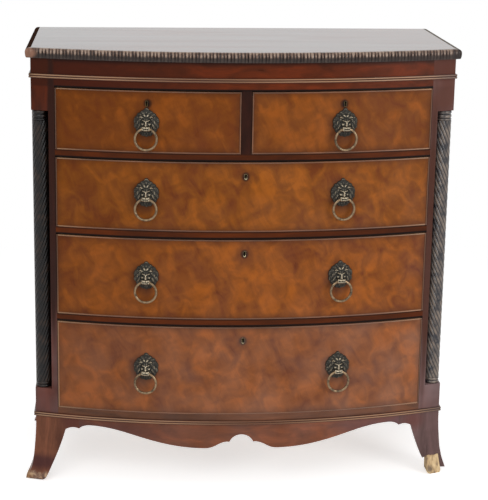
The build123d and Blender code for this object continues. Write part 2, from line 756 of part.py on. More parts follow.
def stud_nut():
    """The nut that holds a mask, against the inside of the drawer front."""
    low = FRONT_THICKNESS + NUT_GAP
    hexagon = RegularPolygon(NUT_FLATS / 2, 6, major_radius=False)
    nut = extrude(FRONT_ELEVATION.offset(-low - NUT_HEIGHT) * hexagon, NUT_HEIGHT, dir=(0, -1, 0))
    hole = Pos(0, low, 0) * Rot(90, 0, 0) * Cylinder(STUD_RADIUS, 4 * NUT_HEIGHT)
    return nut - hole


def ring_handle():
    """A ring that hangs from a straight pin between the ends of its arc."""
    pin_half = MUZZLE_HALF + PIN_SIDE_GAP
    drop = math.sqrt(RING_RADIUS**2 - pin_half**2)
    hoop = Rot(90, 0, 0) * Torus(RING_RADIUS, RING_WIRE)
    gap = box(-pin_half, pin_half, -REACH, REACH, 0, 2 * RING_RADIUS)
    pin_length = 2 * (pin_half + PIN_OVERLAP)
    pin = Pos(0, 0, drop) * Rot(0, 90, 0) * Cylinder(PIN_RADIUS, pin_length)
    ring = hoop - gap + pin
    return Pos(0, -HINGE_OUT, -HINGE_DROP - drop) * ring


MASK = lion_mask()
NUT = stud_nut()
RING = ring_handle()


def bead_profile(z0, z1):
    """A horizontal cock bead's section, with a round nose."""
    shoulder = FRONT_RADIUS + BEAD_PROUD - BEAD_WIDTH / 2
    back = FRONT_RADIUS - BEAD_DEPTH
    nose = ThreePointArc((shoulder, z0), (FRONT_RADIUS + BEAD_PROUD, (z0 + z1) / 2), (shoulder, z1))
    rest = Polyline((shoulder, z1), (back, z1), (back, z0), (shoulder, z0))
    return make_face([nose, rest])


def upright_bead(x0, x1, z0, z1):
    """A vertical cock bead between two values of x, with a round nose."""
    shoulder = FRONT_RADIUS + BEAD_PROUD - BEAD_WIDTH / 2
    back = FRONT_RADIUS - BEAD_DEPTH
    middle = (x0 + x1) / 2
    nose = ThreePointArc(
        (x0, bow_y(shoulder, x0)),
        (middle, bow_y(FRONT_RADIUS + BEAD_PROUD, middle)),
        (x1, bow_y(shoulder, x1)),
    )
    rest = Polyline(
        (x1, bow_y(shoulder, x1)),
        (x1, bow_y(back, x1)),
        (x0, bow_y(back, x0)),
        (x0, bow_y(shoulder, x0)),
    )
    return raised([nose, rest], z0, z1)


def cock_beads(x0, x1, z0, z1):
    """The four beads round a drawer front."""
    cutter = box(x0, x1, -REACH, 0, z0, z1)
    reach = max(abs(x0), abs(x1))
    bottom = turned_about_bow(bead_profile(z0, z0 + BEAD_WIDTH), reach) & cutter
    top = turned_about_bow(bead_profile(z1 - BEAD_WIDTH, z1), reach) & cutter
    left = upright_bead(x0, x0 + BEAD_WIDTH, z0 + BEAD_WIDTH, z1 - BEAD_WIDTH)
    right = upright_bead(x1 - BEAD_WIDTH, x1, z0 + BEAD_WIDTH, z1 - BEAD_WIDTH)
    return [bottom, top, left, right]


def drawer_side(outer_x, inner_x, z0, z1):
    """A drawer side with dovetails that lap into the drawer front."""
    low_x = min(outer_x, inner_x)
    high_x = max(outer_x, inner_x)
    shoulder = bow_y(FACE_INNER, abs(inner_x))
    tip = bow_y(FRONT_RADIUS - TAIL_LAP, abs(outer_x))
    side = box(low_x, high_x, shoulder, DRAWER_BACK, z0, z1)
    count = max(2, round((z1 - z0) / TAIL_PITCH))
    pitch = (z1 - z0) / count
    for index in range(count):
        middle = z0 + (index + 0.5) * pitch
        outline = Polyline(
            (tip, middle - TAIL_TIP / 2),
            (tip, middle + TAIL_TIP / 2),
            (shoulder, middle + TAIL_ROOT / 2),
            (shoulder, middle - TAIL_ROOT / 2),
            close=True,
        )
        tail = Plane.YZ.offset(low_x) * make_face([outline])
        side += extrude(tail, high_x - low_x, dir=(1, 0, 0))
    return side


def make_drawer(name, x0, x1, seat, opening, lock_x, key_drop, masks, mask_rise):
    """One drawer: front, beads, box, lock, bolt, lion masks and rings."""
    left = x0 + DRAWER_SIDE_GAP
    right = x1 - DRAWER_SIDE_GAP
    low = seat + DRAWER_BOTTOM_GAP
    high = seat + opening - DRAWER_TOP_GAP
    beads = cock_beads(left, right, low, high)
    side_top = high - SIDE_DROP
    panel = low + BOTTOM_RISE
    panel_top = panel + BOTTOM_THICKNESS
    inner_left = left + LINING
    inner_right = right - LINING
    sides = [
        drawer_side(left, inner_left, low, side_top),
        drawer_side(right, inner_right, low, side_top),
    ]
    back_top = side_top - BACK_DROP
    back = box(inner_left, inner_right, DRAWER_BACK - LINING, DRAWER_BACK, panel_top, back_top)
    bottom = bowed_board(FACE_INNER, inner_left, inner_right, DRAWER_BACK, panel, panel_top)
    case, rim, bolt, removed = lock_pieces(lock_x, high, key_drop)
    front = bowed_strip(FRONT_RADIUS, FACE_INNER, left, right, low, high)
    for piece in [*beads, *sides, removed]:
        front -= piece
    mask_height = (low + high) / 2 + mask_rise
    stud_hole = Pos(0, 0, mask_height) * Rot(90, 0, 0)
    stud_hole *= Cylinder(STUD_RADIUS + STUD_GAP, 4 * STUD_LENGTH)
    mounted = []
    for ring_name, x in masks:
        place = at_front(x)
        front -= place * stud_hole
        lift = place * Pos(0, 0, mask_height)
        mounted += [lift * MASK, lift * NUT]
        write(ring_name, lift * RING)
    write(f"{name}_front", front)
    write(f"{name}_beads", *beads)
    write(f"{name}_box", *sides, back, bottom)
    write(f"{name}_lock", case, rim)
    write(f"{name}_bolt", bolt)
    write(f"{name}_masks", *mounted)


def make_long_drawer(name, seat, opening):
    """A full width drawer with its lock in the middle and two handles."""
    masks = [(f"{name}_ring_left", -MASK_X), (f"{name}_ring_right", MASK_X)]
    make_drawer(
        name, -OPENING_HALF, OPENING_HALF, seat, opening, 0, KEYHOLE_DROP_LONG, masks, MASK_RISE_LONG
    )


def make_short_drawer(name, side):
    """A short drawer with its lock above its one handle."""
    ends = sorted((side * DIVIDER_WIDTH / 2, side * OPENING_HALF))
    masks = [(f"{name}_ring", side * MASK_X)]
    make_drawer(
        name, *ends, SHORT_SEAT, SHORT_OPENING, side * MASK_X, KEYHOLE_DROP_SHORT, masks, MASK_RISE_SHORT
    )


os.makedirs("parts", exist_ok=True)
make_top()
make_string("upper_string", FRIEZE_SEAT + UPPER_STRING_RISE)
make_string("lower_string", BASE_HEIGHT + STRING_HEIGHT / 2)
make_rails()
make_boards()
make_guides()
make_divider()
make_posts()
make_columns()
make_front_feet()
make_back_feet()
make_apron()
make_long_drawer("lower_drawer", RAIL_SEAT, LOWER_OPENING)
make_long_drawer("middle_drawer", MIDDLE_SEAT, MIDDLE_OPENING)
make_long_drawer("upper_drawer", UPPER_SEAT, UPPER_OPENING)
make_short_drawer("left_drawer", -1)
make_short_drawer("right_drawer", 1)
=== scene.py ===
"""Bow front chest of drawers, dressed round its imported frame.

The frame's own axes are used throughout: +Z up, the front towards -Y and the floor at
zero. Sizes in the classes are millimetres, and turn into metres when a mesh is made.
"""

import json
import logging
import math
from dataclasses import dataclass, field
from enum import Enum

import bmesh
import bpy
import numpy as np
from mathutils import Matrix, Vector

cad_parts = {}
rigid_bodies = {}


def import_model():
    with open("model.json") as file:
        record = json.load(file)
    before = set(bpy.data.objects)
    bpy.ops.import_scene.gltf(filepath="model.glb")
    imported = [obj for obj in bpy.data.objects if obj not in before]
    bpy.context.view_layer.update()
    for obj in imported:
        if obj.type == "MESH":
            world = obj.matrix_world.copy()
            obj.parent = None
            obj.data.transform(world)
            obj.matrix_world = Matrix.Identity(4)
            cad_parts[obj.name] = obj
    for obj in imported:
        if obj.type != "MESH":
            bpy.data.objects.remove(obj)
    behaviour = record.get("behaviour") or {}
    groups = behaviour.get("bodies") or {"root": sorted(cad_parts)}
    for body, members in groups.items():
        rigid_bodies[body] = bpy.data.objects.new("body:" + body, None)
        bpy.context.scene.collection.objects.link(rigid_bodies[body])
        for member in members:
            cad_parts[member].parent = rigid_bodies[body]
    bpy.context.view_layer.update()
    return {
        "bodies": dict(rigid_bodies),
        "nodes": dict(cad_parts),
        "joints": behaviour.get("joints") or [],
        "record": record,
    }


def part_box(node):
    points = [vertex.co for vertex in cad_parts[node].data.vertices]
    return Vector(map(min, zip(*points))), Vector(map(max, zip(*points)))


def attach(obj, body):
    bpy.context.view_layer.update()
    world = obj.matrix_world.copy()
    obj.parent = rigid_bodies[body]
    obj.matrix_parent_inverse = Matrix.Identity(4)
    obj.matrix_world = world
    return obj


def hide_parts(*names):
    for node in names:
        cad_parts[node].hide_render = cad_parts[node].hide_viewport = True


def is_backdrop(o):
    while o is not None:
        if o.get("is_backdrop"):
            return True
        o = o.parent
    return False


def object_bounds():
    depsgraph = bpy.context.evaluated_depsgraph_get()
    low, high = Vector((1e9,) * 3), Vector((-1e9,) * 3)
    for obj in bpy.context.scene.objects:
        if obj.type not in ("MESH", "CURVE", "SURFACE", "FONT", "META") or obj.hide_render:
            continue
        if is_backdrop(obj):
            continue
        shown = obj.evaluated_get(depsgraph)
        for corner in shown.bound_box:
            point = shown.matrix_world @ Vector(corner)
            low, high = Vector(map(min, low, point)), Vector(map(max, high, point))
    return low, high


LOG = logging.getLogger("chest")
MM = 0.001
ANY = math.inf
SMOOTH = {"interpolation_type": "SMOOTHSTEP"}
Colour = tuple[float, float, float, float]
Stops = list[tuple[float, str]]
Pair = tuple[float, float]
Triple = tuple[float, float, float]
Socket = bpy.types.NodeSocket
Piece = bpy.types.Object
Array = np.ndarray


# ---- nodes


def linear(code: str) -> Colour:
    """Turns an sRGB hex colour into linear light.

    Args:
        code: the colour as #rrggbb.

    Returns:
        Red, green, blue and an alpha of one.
    """
    parts = [int(code[start : start + 2], 16) / 255 for start in (1, 3, 5)]
    red, green, blue = (p / 12.92 if p <= 0.04045 else ((p + 0.055) / 1.055) ** 2.4 for p in parts)
    return red, green, blue, 1.0


class Graph:
    """The node tree of a material or a world, filled one node at a time."""

    def __init__(self, owner: bpy.types.Material | bpy.types.World) -> None:
        """Empties the owner's tree.

        Args:
            owner: the material or world whose nodes these are.
        """
        owner.use_nodes = True
        self.tree = owner.node_tree
        self.tree.nodes.clear()

    def add(
        self,
        kind: str,
        inputs: dict | None = None,
        out: int | str = 0,
        stops: Stops | None = None,
        **settings: object,
    ) -> Socket | None:
        """Adds a shader node with its settings, values and links.

        Args:
            kind: the end of the node's type name, after ShaderNode.
            inputs: for each input's name or number, a value, or an output to link to it.
            out: the name or number of the wanted output.
            stops: a colour ramp's positions and hex colours.
            settings: the node's own properties.

        Returns:
            The wanted output, or nothing from a node that has none.
        """
        made = self.tree.nodes.new("ShaderNode" + kind)
        for name, value in settings.items():
            setattr(made, name, value)
        for key, value in (inputs or {}).items():
            if isinstance(value, Socket):
                self.tree.links.new(value, made.inputs[key])
            else:
                made.inputs[key].default_value = value
        if stops:
            elements = made.color_ramp.elements
            while len(elements) < len(stops):
                elements.new(1.0)
            for element, (position, code) in zip(elements, stops):
                element.position = position
                element.color = linear(code)
        return made.outputs[out] if made.outputs else None


# ---- changes of colour


@dataclass(frozen=True)
class Mark:
    """A place on the front, in metres, where the colour has changed.

    The share is the strength inside, and falls smoothly to nothing where the distance,
    each axis over its reach, comes to one. An infinite reach makes a line of it: level
    for a painted highlight along a crest or a painted shadow along a gap, or upright
    for a darker stile.
    """

    middle: Pair
    reach: Pair
    colour: str
    strength: float
    soft: float = 0.7

    def share(self, graph: Graph, place: Socket) -> Socket:
        """How much of the colour shows at each place.

        Args:
            graph: the material's tree.
            place: the object coordinates.

        Returns:
            The share.
        """
        middle = (self.middle[0], 0.0, self.middle[1])
        scale = (1 / self.reach[0], 0.0, 1 / self.reach[1])
        offset = graph.add("VectorMath", {0: place, 1: middle}, operation="SUBTRACT")
        scaled = graph.add("VectorMath", {0: offset, 1: scale}, operation="MULTIPLY")
        away = graph.add("VectorMath", {0: scaled}, "Value", operation="LENGTH")
        fall = {"Value": away, "From Min": 1 - self.soft, "To Min": self.strength, "To Max": 0.0}
        return graph.add("MapRange", fall, **SMOOTH)


@dataclass(frozen=True)
class Border:
    """A rectangle of the front, in metres, whose borders have darkened with polish.

    The share is the larger of two smooth steps, one in x and one in z, that rise from
    nothing at the reach inside an edge to the strength at the edge.
    """

    middle: Pair
    half: Pair
    reach: float = 0.022
    colour: str = "#3c1c0c"
    strength: float = 0.5

    def share(self, graph: Graph, place: Socket) -> Socket:
        """How much of the colour shows at each place.

        Args:
            graph: the material's tree.
            place: the object coordinates.

        Returns:
            The share.
        """
        share: Socket | float = 0.0
        for axis, middle, half in zip((0, 2), self.middle, self.half):
            along = graph.add("SeparateXYZ", {0: place}, axis)
            offset = graph.add("Math", {0: along, 1: middle}, operation="SUBTRACT")
            away = graph.add("Math", {0: offset}, operation="ABSOLUTE")
            rise = {"Value": away, "From Min": half - self.reach, "From Max": half, "To Max": self.strength}
            edge = graph.add("MapRange", rise, **SMOOTH)
            share = graph.add("Math", {0: share, 1: edge}, operation="MAXIMUM")
        return share


@dataclass(frozen=True)
class PaintedSheen:
    """A painted sheen: greyish haze low down and to the right that stands in for the
    reflection of the bright floor and the key lamp in the polish.

    The share grows evenly from nothing at the top left of the chest to the strength at
    the foot of its right side, and a noise breaks it up.
    """

    strength: float
    colour: str = "#b3a3a6"

    def share(self, graph: Graph, place: Socket) -> Socket:
        """How much of the colour shows at each place.

        Args:
            graph: the material's tree.
            place: the object coordinates.

        Returns:
            The share.
        """
        slope = (0.5 * self.strength, 0.0, -0.62 * self.strength)
        run = graph.add("VectorMath", {0: place, 1: slope}, "Value", operation="DOT_PRODUCT")
        even = graph.add("Math", {0: run, 1: 0.87 * self.strength}, operation="ADD", use_clamp=True)
        # Clouds about 70 mm across.
        cloud = graph.add("TexNoise", {"Vector": place, "Scale": 14.0, "Detail": 2.0})
        limits = {"From Min": 0.3, "From Max": 0.7, "To Min": 0.6, "To Max": 1.4}
        uneven = graph.add("MapRange", {"Value": cloud, **limits})
        return graph.add("Math", {0: even, 1: uneven}, operation="MULTIPLY")


Change = Mark | Border | PaintedSheen


# ---- finishes


class Grain(Enum):
    """The axis that the wood's fibres run along, as (x, y, z) flags."""

    ACROSS = (1, 0, 0)
    DEEP = (0, 1, 0)
    UPRIGHT = (0, 0, 1)


@dataclass(frozen=True)
class Finish:
    """A material: each kind of finish says what its shader gets."""

    name: str
    changes: tuple[Change, ...] = field(default=(), kw_only=True)

    def shade(self, graph: Graph, place: Socket) -> dict:
        """Works out the shader's inputs, before the changes of colour.

        Args:
            graph: the material's tree.
            place: the object coordinates.

        Returns:
            A value or an output for each input's name.
        """
        raise NotImplementedError

    def make(self) -> bpy.types.Material:
        """Builds the material.

        Returns:
            The new material.
        """
        material = bpy.data.materials.new(self.name)
        graph = Graph(material)
        place = graph.add("TexCoord", out="Object")
        inputs = self.shade(graph, place)
        for change in self.changes:
            mixed = {0: change.share(graph, place), 6: inputs["Base Color"], 7: linear(change.colour)}
            inputs["Base Color"] = graph.add("Mix", mixed, 2, data_type="RGBA")
        graph.add("OutputMaterial", {"Surface": graph.add("BsdfPrincipled", inputs)})
        return material


@dataclass(frozen=True)
class Timber(Finish):
    """Sawn or sliced wood under French polish, wax or nothing.

    The colour is a ramp over four noises added together: the figure, whose clouds are
    figure_mm wide, a drift from board to board, the ripple of short bands across the
    fibres, and the fibres themselves, which are fibre_mm wide and many times as long.
    """

    stops: Stops
    grain: Grain
    figure_mm: float = 34.0
    figure_stretch: float = 0.16
    figure_tilt: float = 0.0
    distortion: float = 1.1
    contrast: float = 0.8
    drift_mm: float = 160.0
    drift: float = 0.3
    ripple_mm: float = 35.0
    ripple: float = 0.06
    fibre_mm: float = 1.6
    fibre: float = 0.2
    roughness: float = 0.3
    specular: float = 0.1
    coat: float = 0.0
    bump: float = 0.1
    seed: Triple = (0.0, 0.0, 0.0)
    core: Stops | None = None
    streak: float = 0.3

    def along_fibres(
        self, graph: Graph, place: Socket, stretch: float, size_mm: float, **settings: float
    ) -> Socket:
        """Draws one pattern of the wood out along its fibres.

        Args:
            graph: the material's tree.
            place: the coordinates.
            stretch: how much longer the pattern is along the fibres, as its inverse.
            size_mm: the width of its cells.
            settings: more inputs of the noise, by name.

        Returns:
            The pattern, as a noise about one half.
        """
        along = tuple(stretch if flag else 1.0 for flag in self.grain.value)
        drawn = graph.add("VectorMath", {0: place, 1: along}, operation="MULTIPLY")
        return graph.add("TexNoise", {"Vector": drawn, "Scale": 1 / (size_mm * MM), **settings})

    def shade(self, graph: Graph, place: Socket) -> dict:
        """Works out the shader's inputs, before the changes of colour.

        Args:
            graph: the material's tree.
            place: the object coordinates.

        Returns:
            A value or an output for each input's name.
        """
        tilt = (0.0, math.radians(self.figure_tilt), 0.0)
        turned = graph.add("Mapping", {"Vector": place, "Location": self.seed, "Rotation": tilt})
        clouds = {"Detail": 4.0, "Distortion": self.distortion}
        figure = self.along_fibres(graph, turned, self.figure_stretch, self.figure_mm, **clouds)
        ripple = self.along_fibres(graph, turned, 2.6, self.ripple_mm, Detail=1.0, Distortion=0.6)
        fibres = self.along_fibres(graph, turned, 0.035, self.fibre_mm, Detail=2.0)
        drift = self.along_fibres(graph, turned, 0.6, self.drift_mm, Detail=1.0)
        weights = (self.contrast, self.drift, self.ripple, self.fibre)
        total: Socket | float = 0.5 * (1 - sum(weights))
        for source, weight in zip((figure, drift, ripple, fibres), weights):
            total = graph.add("Math", {0: source, 1: weight, 2: total}, operation="MULTIPLY_ADD")
        colour = graph.add("ValToRGB", {"Fac": total}, stops=self.stops)
        uneven = {0: figure, 1: 0.12, 2: self.roughness - 0.06}
        rough = graph.add("Math", uneven, operation="MULTIPLY_ADD")
        if self.core:
            colour, rough = self.bare_wood(graph, place, colour, rough)
        pores = {"Height": fibres, "Strength": self.bump, "Distance": 0.2 * MM}
        return {
            "Base Color": colour,
            "Roughness": rough,
            "Normal": graph.add("Bump", pores),
            "IOR": 1.5,
            "Specular IOR Level": self.specular,
            "Coat Weight": self.coat,
            "Coat Roughness": 0.12,
        }

    def bare_wood(self, graph: Graph, place: Socket, colour: Socket, rough: Socket) -> tuple[Socket, Socket]:
        """Shows the unpolished wood where the mesh's bare attribute is high.

        Args:
            graph: the material's tree.
            place: the object coordinates.
            colour: the polished wood's colour.
            rough: the polished wood's roughness.

        Returns:
            The colour and roughness of both together.
        """
        share = graph.add("Attribute", out="Fac", attribute_name="bare")
        streaks = graph.add("VectorMath", {0: place, 1: (1.0, 1.0, self.streak)}, operation="MULTIPLY")
        # Streaks of dirt about 9 mm wide.
        dirt = graph.add("TexNoise", {"Vector": streaks, "Scale": 110.0, "Detail": 4.0})
        core = graph.add("ValToRGB", {"Fac": dirt}, stops=self.core)
        mixed = graph.add("Mix", {0: share, 6: colour, 7: core}, 2, data_type="RGBA")
        return mixed, graph.add("Mix", {0: share, 2: rough, 3: 0.8}, data_type="FLOAT")


@dataclass(frozen=True)
class Carved(Finish):
    """Carved and polished wood, pale on its crests and black in its hollows: partly real
    wear and dirt, partly painted highlight on the crests and painted shade in the hollows.

    The mesh's hollow attribute runs from 0 on a crest to 1 at the bottom of a cut, and
    a ramp over it, moved a little by a noise, gives the colour.
    """

    stops: Stops
    specular: float = 0.35

    def shade(self, graph: Graph, place: Socket) -> dict:
        """Works out the shader's inputs, before the changes of colour.

        Args:
            graph: the material's tree.
            place: the object coordinates.

        Returns:
            A value or an output for each input's name.
        """
        hollow = graph.add("Attribute", out="Fac", attribute_name="hollow")
        # Patches of wear about 17 mm across, which is one lobe and its bead.
        wear = graph.add("TexNoise", {"Vector": place, "Scale": 60.0, "Detail": 4.0, "Roughness": 0.6})
        uneven = graph.add("Math", {0: wear, 1: 0.7, 2: -0.35}, operation="MULTIPLY_ADD")
        total = graph.add("Math", {0: hollow, 1: uneven}, operation="ADD")
        return {
            "Base Color": graph.add("ValToRGB", {"Fac": total}, stops=self.stops),
            "Roughness": graph.add("Math", {0: hollow, 1: 0.4, 2: 0.28}, operation="MULTIPLY_ADD"),
            "IOR": 1.5,
            "Specular IOR Level": self.specular,
        }


@dataclass(frozen=True)
class Ebonised(Finish):
    """Turned wood stained black and polished, rubbed brown on the crests.

    The rub is a smooth step over the distance from the column's axis, broken up by a
    noise, so the hollows stay black. Paler and greyer colours, as on the right column,
    make the rub a painted highlight and the black a painted reflection.
    """

    axis: Pair
    crest: float
    hollow: float
    black: str = "#0f0c0c"
    rubbed: str = "#33251c"
    specular: float = 0.3
    unworn: float = 0.42

    def shade(self, graph: Graph, place: Socket) -> dict:
        """Works out the shader's inputs, before the changes of colour.

        Args:
            graph: the material's tree.
            place: the object coordinates.

        Returns:
            A value or an output for each input's name.
        """
        flat = graph.add("VectorMath", {0: place, 1: (1.0, 1.0, 0.0)}, operation="MULTIPLY")
        away = graph.add("VectorMath", {0: flat, 1: (*self.axis, 0.0)}, "Value", operation="DISTANCE")
        rise = {"Value": away, "From Min": self.hollow, "From Max": self.crest}
        crest = graph.add("MapRange", rise, **SMOOTH)
        # Rubbed patches about 22 mm long.
        wear = graph.add("TexNoise", {"Vector": place, "Scale": 45.0, "Detail": 4.0})
        worn = {"Value": wear, "From Min": self.unworn, "From Max": self.unworn + 0.33}
        rubbed = graph.add("MapRange", worn, **SMOOTH)
        share = graph.add("Math", {0: crest, 1: rubbed}, operation="MULTIPLY")
        mixed = {0: share, 6: linear(self.black), 7: linear(self.rubbed)}
        return {
            "Base Color": graph.add("Mix", mixed, 2, data_type="RGBA"),
            "Roughness": graph.add("Math", {0: wear, 1: 0.2, 2: 0.2}, operation="MULTIPLY_ADD"),
            "IOR": 1.5,
            "Specular IOR Level": self.specular,
        }


@dataclass(frozen=True)
class Brass(Finish):
    """Cast or drawn brass, from clean to thickly patinated.

    The share of patina is a noise, and on a cast mask also its relief: the mesh's
    relief attribute is above one half on crests, which hands have rubbed, and below it
    in the hollows, which keep their dirt.
    """

    metal: str
    patina: str
    tarnish: float
    blend: float = 0.14
    roughness: float = 0.3
    cast: bool = False
    blotch_mm: float = 9.0

    def shade(self, graph: Graph, place: Socket) -> dict:
        """Works out the shader's inputs, before the changes of colour.

        Args:
            graph: the material's tree.
            place: the object coordinates.

        Returns:
            A value or an output for each input's name.
        """
        blotches = {"Scale": 1 / (self.blotch_mm * MM), "Detail": 5.0, "Roughness": 0.6}
        rise = graph.add("TexNoise", {"Vector": place, **blotches})
        if self.cast:
            relief = graph.add("Attribute", out="Fac", attribute_name="relief")
            rise = graph.add("Mix", {0: 0.3, 2: relief, 3: rise}, data_type="FLOAT")
        low, high = self.tarnish - self.blend, self.tarnish + self.blend
        fall = {"Value": rise, "From Min": low, "From Max": high, "To Min": 1.0, "To Max": 0.0}
        share = graph.add("MapRange", fall, **SMOOTH)
        mixed = {0: share, 6: linear(self.metal), 7: linear(self.patina)}
        # The casting sand's grit, drawn 1.1 mm coarse so that it shows.
        grit = graph.add("TexNoise", {"Vector": place, "Scale": 900.0, "Detail": 2.0})
        return {
            "Base Color": graph.add("Mix", mixed, 2, data_type="RGBA"),
            "Metallic": graph.add("Math", {0: share, 1: -0.55, 2: 1.0}, operation="MULTIPLY_ADD"),
            "Roughness": graph.add("Math", {0: share, 1: 0.24, 2: self.roughness}, operation="MULTIPLY_ADD"),
            "Normal": graph.add("Bump", {"Height": grit, "Strength": 0.25, "Distance": 0.15 * MM}),
        }


# ---- meshes


class Surface:
    """Grids of points, in millimetres, gathered into one mesh of closed shells."""

    def __init__(self) -> None:
        """Starts with no points."""
        self.points: list[Array] = []
        self.quads: list[Array] = []
        self.values: dict[str, list[Array]] = {}
        self.count = 0

    def grid(self, points: Array, wrap: bool = False, **values: Array | float) -> None:
        """Adds a grid of points as quads between neighbouring rows and columns.

        Args:
            points: rows by columns by three.
            wrap: whether the last column joins the first.
            values: a number for each point, by the name of its attribute.
        """
        rows, columns = points.shape[:2]
        index = np.arange(rows * columns).reshape(rows, columns) + self.count
        if wrap:
            index = np.concatenate([index, index[:, :1]], axis=1)
        corners = (index[:-1, :-1], index[:-1, 1:], index[1:, 1:], index[1:, :-1])
        self.points.append(points.reshape(-1, 3))
        self.quads.append(np.stack(corners, axis=-1).reshape(-1, 4))
        for name, value in values.items():
            self.values.setdefault(name, []).append(np.broadcast_to(value, (rows, columns)).ravel())
        self.count += rows * columns

    def tube(self, outer: Array, inner: Array, **values: Array) -> None:
        """Adds a closed shell between two grids that face each other point by point.

        The rows of both grids are joined along their first and last columns, and the
        first and last rows are closed by strips between the two.

        Args:
            outer: the outer grid.
            inner: the inner grid, of the same size.
            values: a number for each point of the outer grid, used for both.
        """
        loops = np.concatenate([outer, inner[:, ::-1]], axis=1)
        both = {name: np.concatenate([v, v[:, ::-1]], axis=1) for name, v in values.items()}
        self.grid(loops, wrap=True, **both)
        for row in (0, -1):
            ends = {name: np.stack([v[row], v[row]]) for name, v in values.items()}
            self.grid(np.stack([outer[row], inner[row]]), **ends)

    def build(self, name: str, crease: float = 40.0) -> Piece:
        """Makes the object, with doubles merged and normals pointing outwards.

        Args:
            name: the piece's name.
            crease: the angle in degrees above which an edge is sharp.

        Returns:
            The new object, at the origin.
        """
        points = np.concatenate(self.points) * MM
        mesh = bpy.data.meshes.new(name)
        mesh.from_pydata(points.tolist(), [], np.concatenate(self.quads).tolist())
        for label, parts in self.values.items():
            layer = mesh.attributes.new(label, "FLOAT", "POINT")
            layer.data.foreach_set("value", np.concatenate(parts).astype(np.float32))
        work = bmesh.new()
        work.from_mesh(mesh)
        bmesh.ops.remove_doubles(work, verts=work.verts, dist=0.004 * MM)
        bmesh.ops.dissolve_degenerate(work, edges=work.edges, dist=0.001 * MM)
        bmesh.ops.recalc_face_normals(work, faces=work.faces)
        work.to_mesh(mesh)
        work.free()
        mesh.polygons.foreach_set("use_smooth", np.ones(len(mesh.polygons), dtype=bool))
        mesh.set_sharp_from_angle(angle=math.radians(crease))
        made = bpy.data.objects.new(name, mesh)
        bpy.context.scene.collection.objects.link(made)
        return made


def joined(*parts: Array | float) -> Array:
    """Stacks x, y and z, each stretched to their common shape, into points."""
    return np.stack(np.broadcast_arrays(*parts), axis=-1)


def moved(points: Array, place: Array) -> Array:
    """Turns and moves points by a four by four matrix."""
    return points @ place[:3, :3].T + place[:3, 3]


def smooth_step(value: Array, low: float, high: float) -> Array:
    """Rises from 0 at low to 1 at high along 3t squared minus 2t cubed."""
    share = np.clip((value - low) / (high - low), 0.0, 1.0)
    return share * share * (3 - 2 * share)


def bell(a: Array, b: Array, middle: Pair, width: Pair) -> Array:
    """A bump of height 1: e to minus the squared distance, each axis over its width."""
    return np.exp(-(((a - middle[0]) / width[0]) ** 2) - ((b - middle[1]) / width[1]) ** 2)


def soft_max(one: Array, other: Array, softness: float) -> Array:
    """The larger of two surfaces, with the crease between them rounded."""
    return softness * np.logaddexp(one / softness, other / softness)


def around(count: int) -> Array:
    """Evenly spaced angles round a full turn, in radians."""
    return np.linspace(0, 2 * np.pi, count, endpoint=False)


@dataclass(frozen=True)
class Bow:
    """The curve of the front in plan: part of a circle about an upright axis."""

    axis_y: float
    radius: float

    @staticmethod
    def of_case() -> "Bow":
        """Works the circle out from its middle and one point, by the sagitta.

        Returns:
            The circle, in millimetres.
        """
        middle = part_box("lower_drawer_front")[0].y / MM
        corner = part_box("corner_post_right")[0]
        across, rise = corner.x / MM, corner.y / MM - middle
        radius = (across**2 + rise**2) / (2 * rise)
        return Bow(middle + radius, radius)

    def y(self, x: Array | float, out: Array | float = 0.0) -> Array:
        """The y at x of the circle that lies out millimetres in front of the bow."""
        return self.axis_y - np.sqrt((self.radius + out) ** 2 - x**2)


# ---- gadrooned edge


